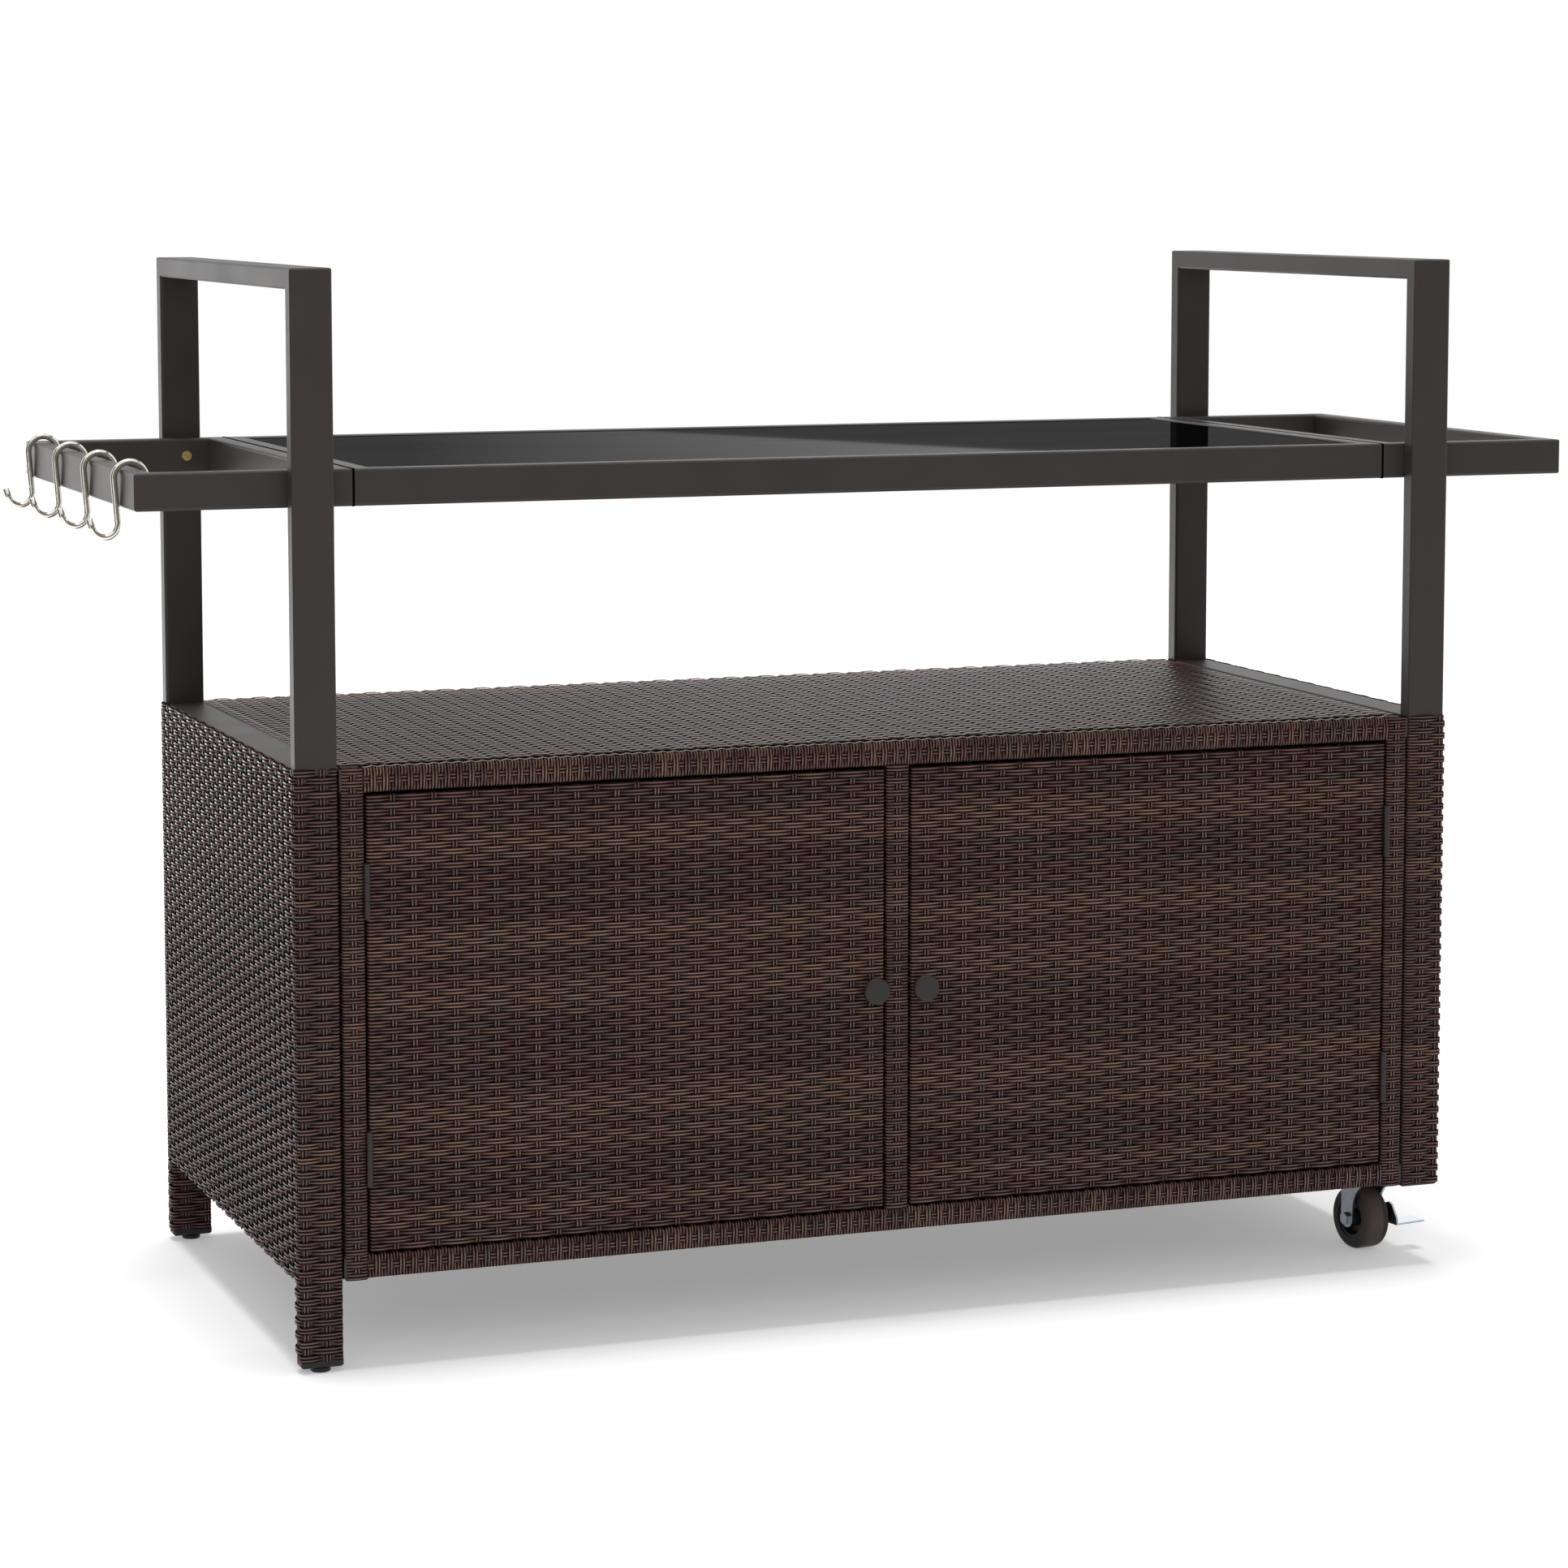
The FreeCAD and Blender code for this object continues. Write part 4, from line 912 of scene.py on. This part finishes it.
def metal(name, dark, light, rough, mottle, bare=1.0):
    """Bare or plated metal: patches of tone and of polish, sized in millimetres."""
    finish = Finish(bpy.data.materials.new(name))
    patch = noise(finish, 1000.0 / mottle, 3.0)
    return surfaced(finish, {
        "Base Color": finish.blend(patch, dark, light),
        "Roughness": rough - 0.07 + 0.14 * patch,
        "Metallic": bare,
    })


zinc = metal("zinc_plate", srgb(150, 158, 166), srgb(188, 195, 201), 0.33, 9.0)
dress(
    zinc,
    "hinge_pins", "hinge_frame_screws", "left_hinge_door_screws", "right_hinge_door_screws",
    "left_knob_screw", "right_knob_screw", "frame_bolts",
)


# Door catch: two small block magnets that hold the doors shut. They are dark sintered metal,
# glued to the painted steel stop plate behind the top of the mullion.
magnet = metal("magnet_steel", srgb(70, 70, 73), srgb(96, 96, 99), 0.4, 5.0)
dress(magnet, "catch_magnets")


# Shelf: a plate of dark tempered glass with a thin clear shine. It lies loose and nearly flush
# in its tube frame, on small clear rubber pads that stick to the frame's ledge.
def dark_glass(name):
    """Nearly black glass with a thin clear shine and faint wipe marks."""
    wipe_stretch = (3.0, 14.0, 3.0)
    finish = Finish(bpy.data.materials.new(name))
    place = finish.node("ShaderNodeTexCoord", {}, {}, "Object")
    wiped = finish.node(
        "ShaderNodeVectorMath", {"operation": "MULTIPLY"}, {0: place, 1: wipe_stretch}
    )
    smear = finish.node("ShaderNodeTexNoise", {}, {"Vector": wiped, "Scale": 1.0, "Detail": 5.0})
    return surfaced(finish, {
        "Base Color": finish.blend(smear, srgb(4, 4, 5), srgb(8, 8, 9)),
        "Roughness": 0.22 + 0.1 * smear,
        "Specular IOR Level": 0.0,
        "Coat Weight": 0.045 + 0.02 * smear,
        "Coat Roughness": 0.02,
    })


def soft_plastic(name, dark, light, rough, grain, gloss=0.4, clear=0.0):
    """Moulded plastic or rubber with a fine grain, sized in millimetres."""
    finish = Finish(bpy.data.materials.new(name))
    speck = noise(finish, 1000.0 / grain, 3.0)
    return surfaced(finish, {
        "Base Color": finish.blend(speck, dark, light),
        "Roughness": rough - 0.05 + 0.1 * speck,
        "Normal": relief(finish, speck, 0.2),
        "Specular IOR Level": gloss,
        "Transmission Weight": clear,
    })


clear_rubber = soft_plastic(
    "clear_rubber", srgb(196, 202, 204), srgb(222, 226, 228), 0.3, 2.0, clear=0.6
)
dress(dark_glass("dark_tempered_glass"), "glass_top")
dress(clear_rubber, "glass_pads")


# Handle and shelf bolts: brass-plated socket bolts that join handle frames, posts and shelf.
# They go in from inside the handle frames, where their heads show.
brass = metal("brass_plate", srgb(206, 170, 104), srgb(240, 212, 150), 0.22, 4.0, 0.7)
dress(brass, "handle_bolts", "shelf_bolts")


# Shelf joints: where the shelf frame meets a handle frame, a thin near-black strip lies between the
# end bars, painted shade for the shadow in the gap there. It shows as a dark line round the tubes,
# a hair prouder than the paint.
joint_thick = 2.2 * MM
joint_proud = 0.15 * MM
joint_faces = [
    (0, 1, 3, 2), (4, 6, 7, 5), (0, 4, 5, 1), (2, 3, 7, 6), (0, 2, 6, 4), (1, 5, 7, 3),
]
# Painted shade: a near-black strip for the shadow in the joint gap.
seam_rubber = soft_plastic("seam_rubber", srgb(3, 3, 3), srgb(8, 8, 8), 0.9, 1.2, gloss=0.0)
low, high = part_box("shelf_frame")
for side, middle in (("left", low.x), ("right", high.x)):
    corners = [
        (x, y, z)
        for x in (middle - 0.5 * joint_thick, middle + 0.5 * joint_thick)
        for y in (low.y - joint_proud, high.y + joint_proud)
        for z in (low.z - joint_proud, high.z + joint_proud)
    ]
    made = piece(side + "_shelf_joint", corners, joint_faces)
    made.data.materials.append(seam_rubber)
    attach(made, "cart")
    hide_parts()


# S-hooks: polished round wire, bent over the left handle's outer bar. Each hangs by its upper
# bend and leans in until its leg meets the bar; the wire is swept along the bends.
wire_radius = 3.0 * MM
wire_sides = 20
upper_bend = 15.1 * MM
lower_bend = 12.2 * MM
bend_steps = 41
hook_leg = 40.3 * MM
hook_tip = 10.0 * MM
lower_turn = math.radians(165.0)
tip_turn = math.pi - lower_turn
hook_lean = math.radians(4.41)
polished_wire = metal(
    "polished_wire", srgb(226, 221, 206), srgb(242, 238, 226), 0.13, 6.0, 0.82
)
over = np.linspace(0.0, math.pi, bend_steps)
under = np.linspace(0.0, -lower_turn, bend_steps)
under_x = lower_bend * (np.cos(under) - 1.0) - upper_bend
under_z = lower_bend * np.sin(under) - hook_leg
tip = np.array([-math.sin(tip_turn), math.cos(tip_turn)])
flat = np.concatenate([
    np.stack([upper_bend * np.cos(over), upper_bend * np.sin(over)], -1),
    np.stack([under_x, under_z], -1),
])
flat = np.vstack([flat, flat[-1] + hook_tip * tip])
heading = np.gradient(flat, axis=0)
heading /= np.linalg.norm(heading, axis=1, keepdims=True)
around = 2.0 * math.pi * np.arange(wire_sides) / wire_sides
side_x = flat[:, 0, None] - wire_radius * heading[:, 1, None] * np.cos(around)
side_z = flat[:, 1, None] + wire_radius * heading[:, 0, None] * np.cos(around)
side_y = np.broadcast_to(wire_radius * np.sin(around), side_x.shape)
ring = np.arange(wire_sides)
after = (ring + 1) % wire_sides
starts = wire_sides * np.arange(len(flat) - 1)[:, None]
ends = starts + wire_sides
sides = np.stack([starts + ring, starts + after, ends + after, ends + ring], -1)
wire_faces = sides.reshape(-1, 4).tolist()
wire_faces += [ring[::-1].tolist(), (wire_sides * (len(flat) - 1) + ring).tolist()]
for joint in frame["joints"]:
    if not joint["name"].startswith("hook_"):
        continue
    hook = joint["name"].replace("_swing", "")
    x, y, z = joint["pos_m"]
    points = np.stack([
        x + side_x * math.cos(hook_lean) - side_z * math.sin(hook_lean),
        y + side_y,
        z + side_x * math.sin(hook_lean) + side_z * math.cos(hook_lean),
    ], -1)
    made = piece(hook + "_wire", points.reshape(-1, 3).tolist(), wire_faces)
    made.data.polygons.foreach_set("use_smooth", [len(face) == 4 for face in wire_faces])
    made.data.materials.append(polished_wire)
    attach(made, hook)
    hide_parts(hook)


# Feet and plugs: moulded black plugs, pressed into the open ends of the four posts.
# The two left ones hold round feet of the same plastic, which screw up and down.
black_plastic = soft_plastic("black_plastic", srgb(24, 23, 22), srgb(38, 37, 36), 0.5, 1.2)
dress(black_plastic, "left_leg_plugs", "right_post_plugs", "front_foot", "rear_foot")


# Casters: pressed plate, fork and brake lever in zinc-plated steel, screwed under the right end.
# The wheel is a black moulded hub with a rubber tyre, on an axle bolt through the fork.
dress(
    zinc,
    "caster_plates", "caster_plate_screws", "caster_kingpins",
    "front_caster_fork", "rear_caster_fork", "front_axle_bolt", "rear_axle_bolt",
    "front_brake_lever", "rear_brake_lever",
)
dress(black_plastic, "front_caster_hub", "rear_caster_hub")


def tyre_rubber(name, flank, tread):
    """Grey-black rubber whose running surface is worn to a paler brown."""
    finish = Finish(bpy.data.materials.new(name))
    speck = noise(finish, 700.0, 3.0)
    box = finish.node("ShaderNodeTexCoord", {}, {}, "Generated")
    across = finish.node("ShaderNodeSeparateXYZ", {}, {"Vector": box}, "X")
    off = finish.node("ShaderNodeMath", {"operation": "ABSOLUTE"}, {0: across - 0.5})
    worn = finish.node(
        "ShaderNodeMapRange",
        {"interpolation_type": "SMOOTHSTEP"},
        {"Value": off, "From Min": 0.24, "From Max": 0.34, "To Min": 1.0, "To Max": 0.0},
    )
    return surfaced(finish, {
        "Base Color": finish.blend(0.8 * worn + 0.2 * speck, flank, tread),
        "Roughness": 0.5 + 0.1 * speck,
        "Normal": relief(finish, speck, 0.2),
        "Specular IOR Level": 0.3,
    })


tyre = tyre_rubber("tyre_rubber", srgb(24, 22, 22), srgb(78, 66, 60))
dress(tyre, "front_caster_tyre", "rear_caster_tyre")
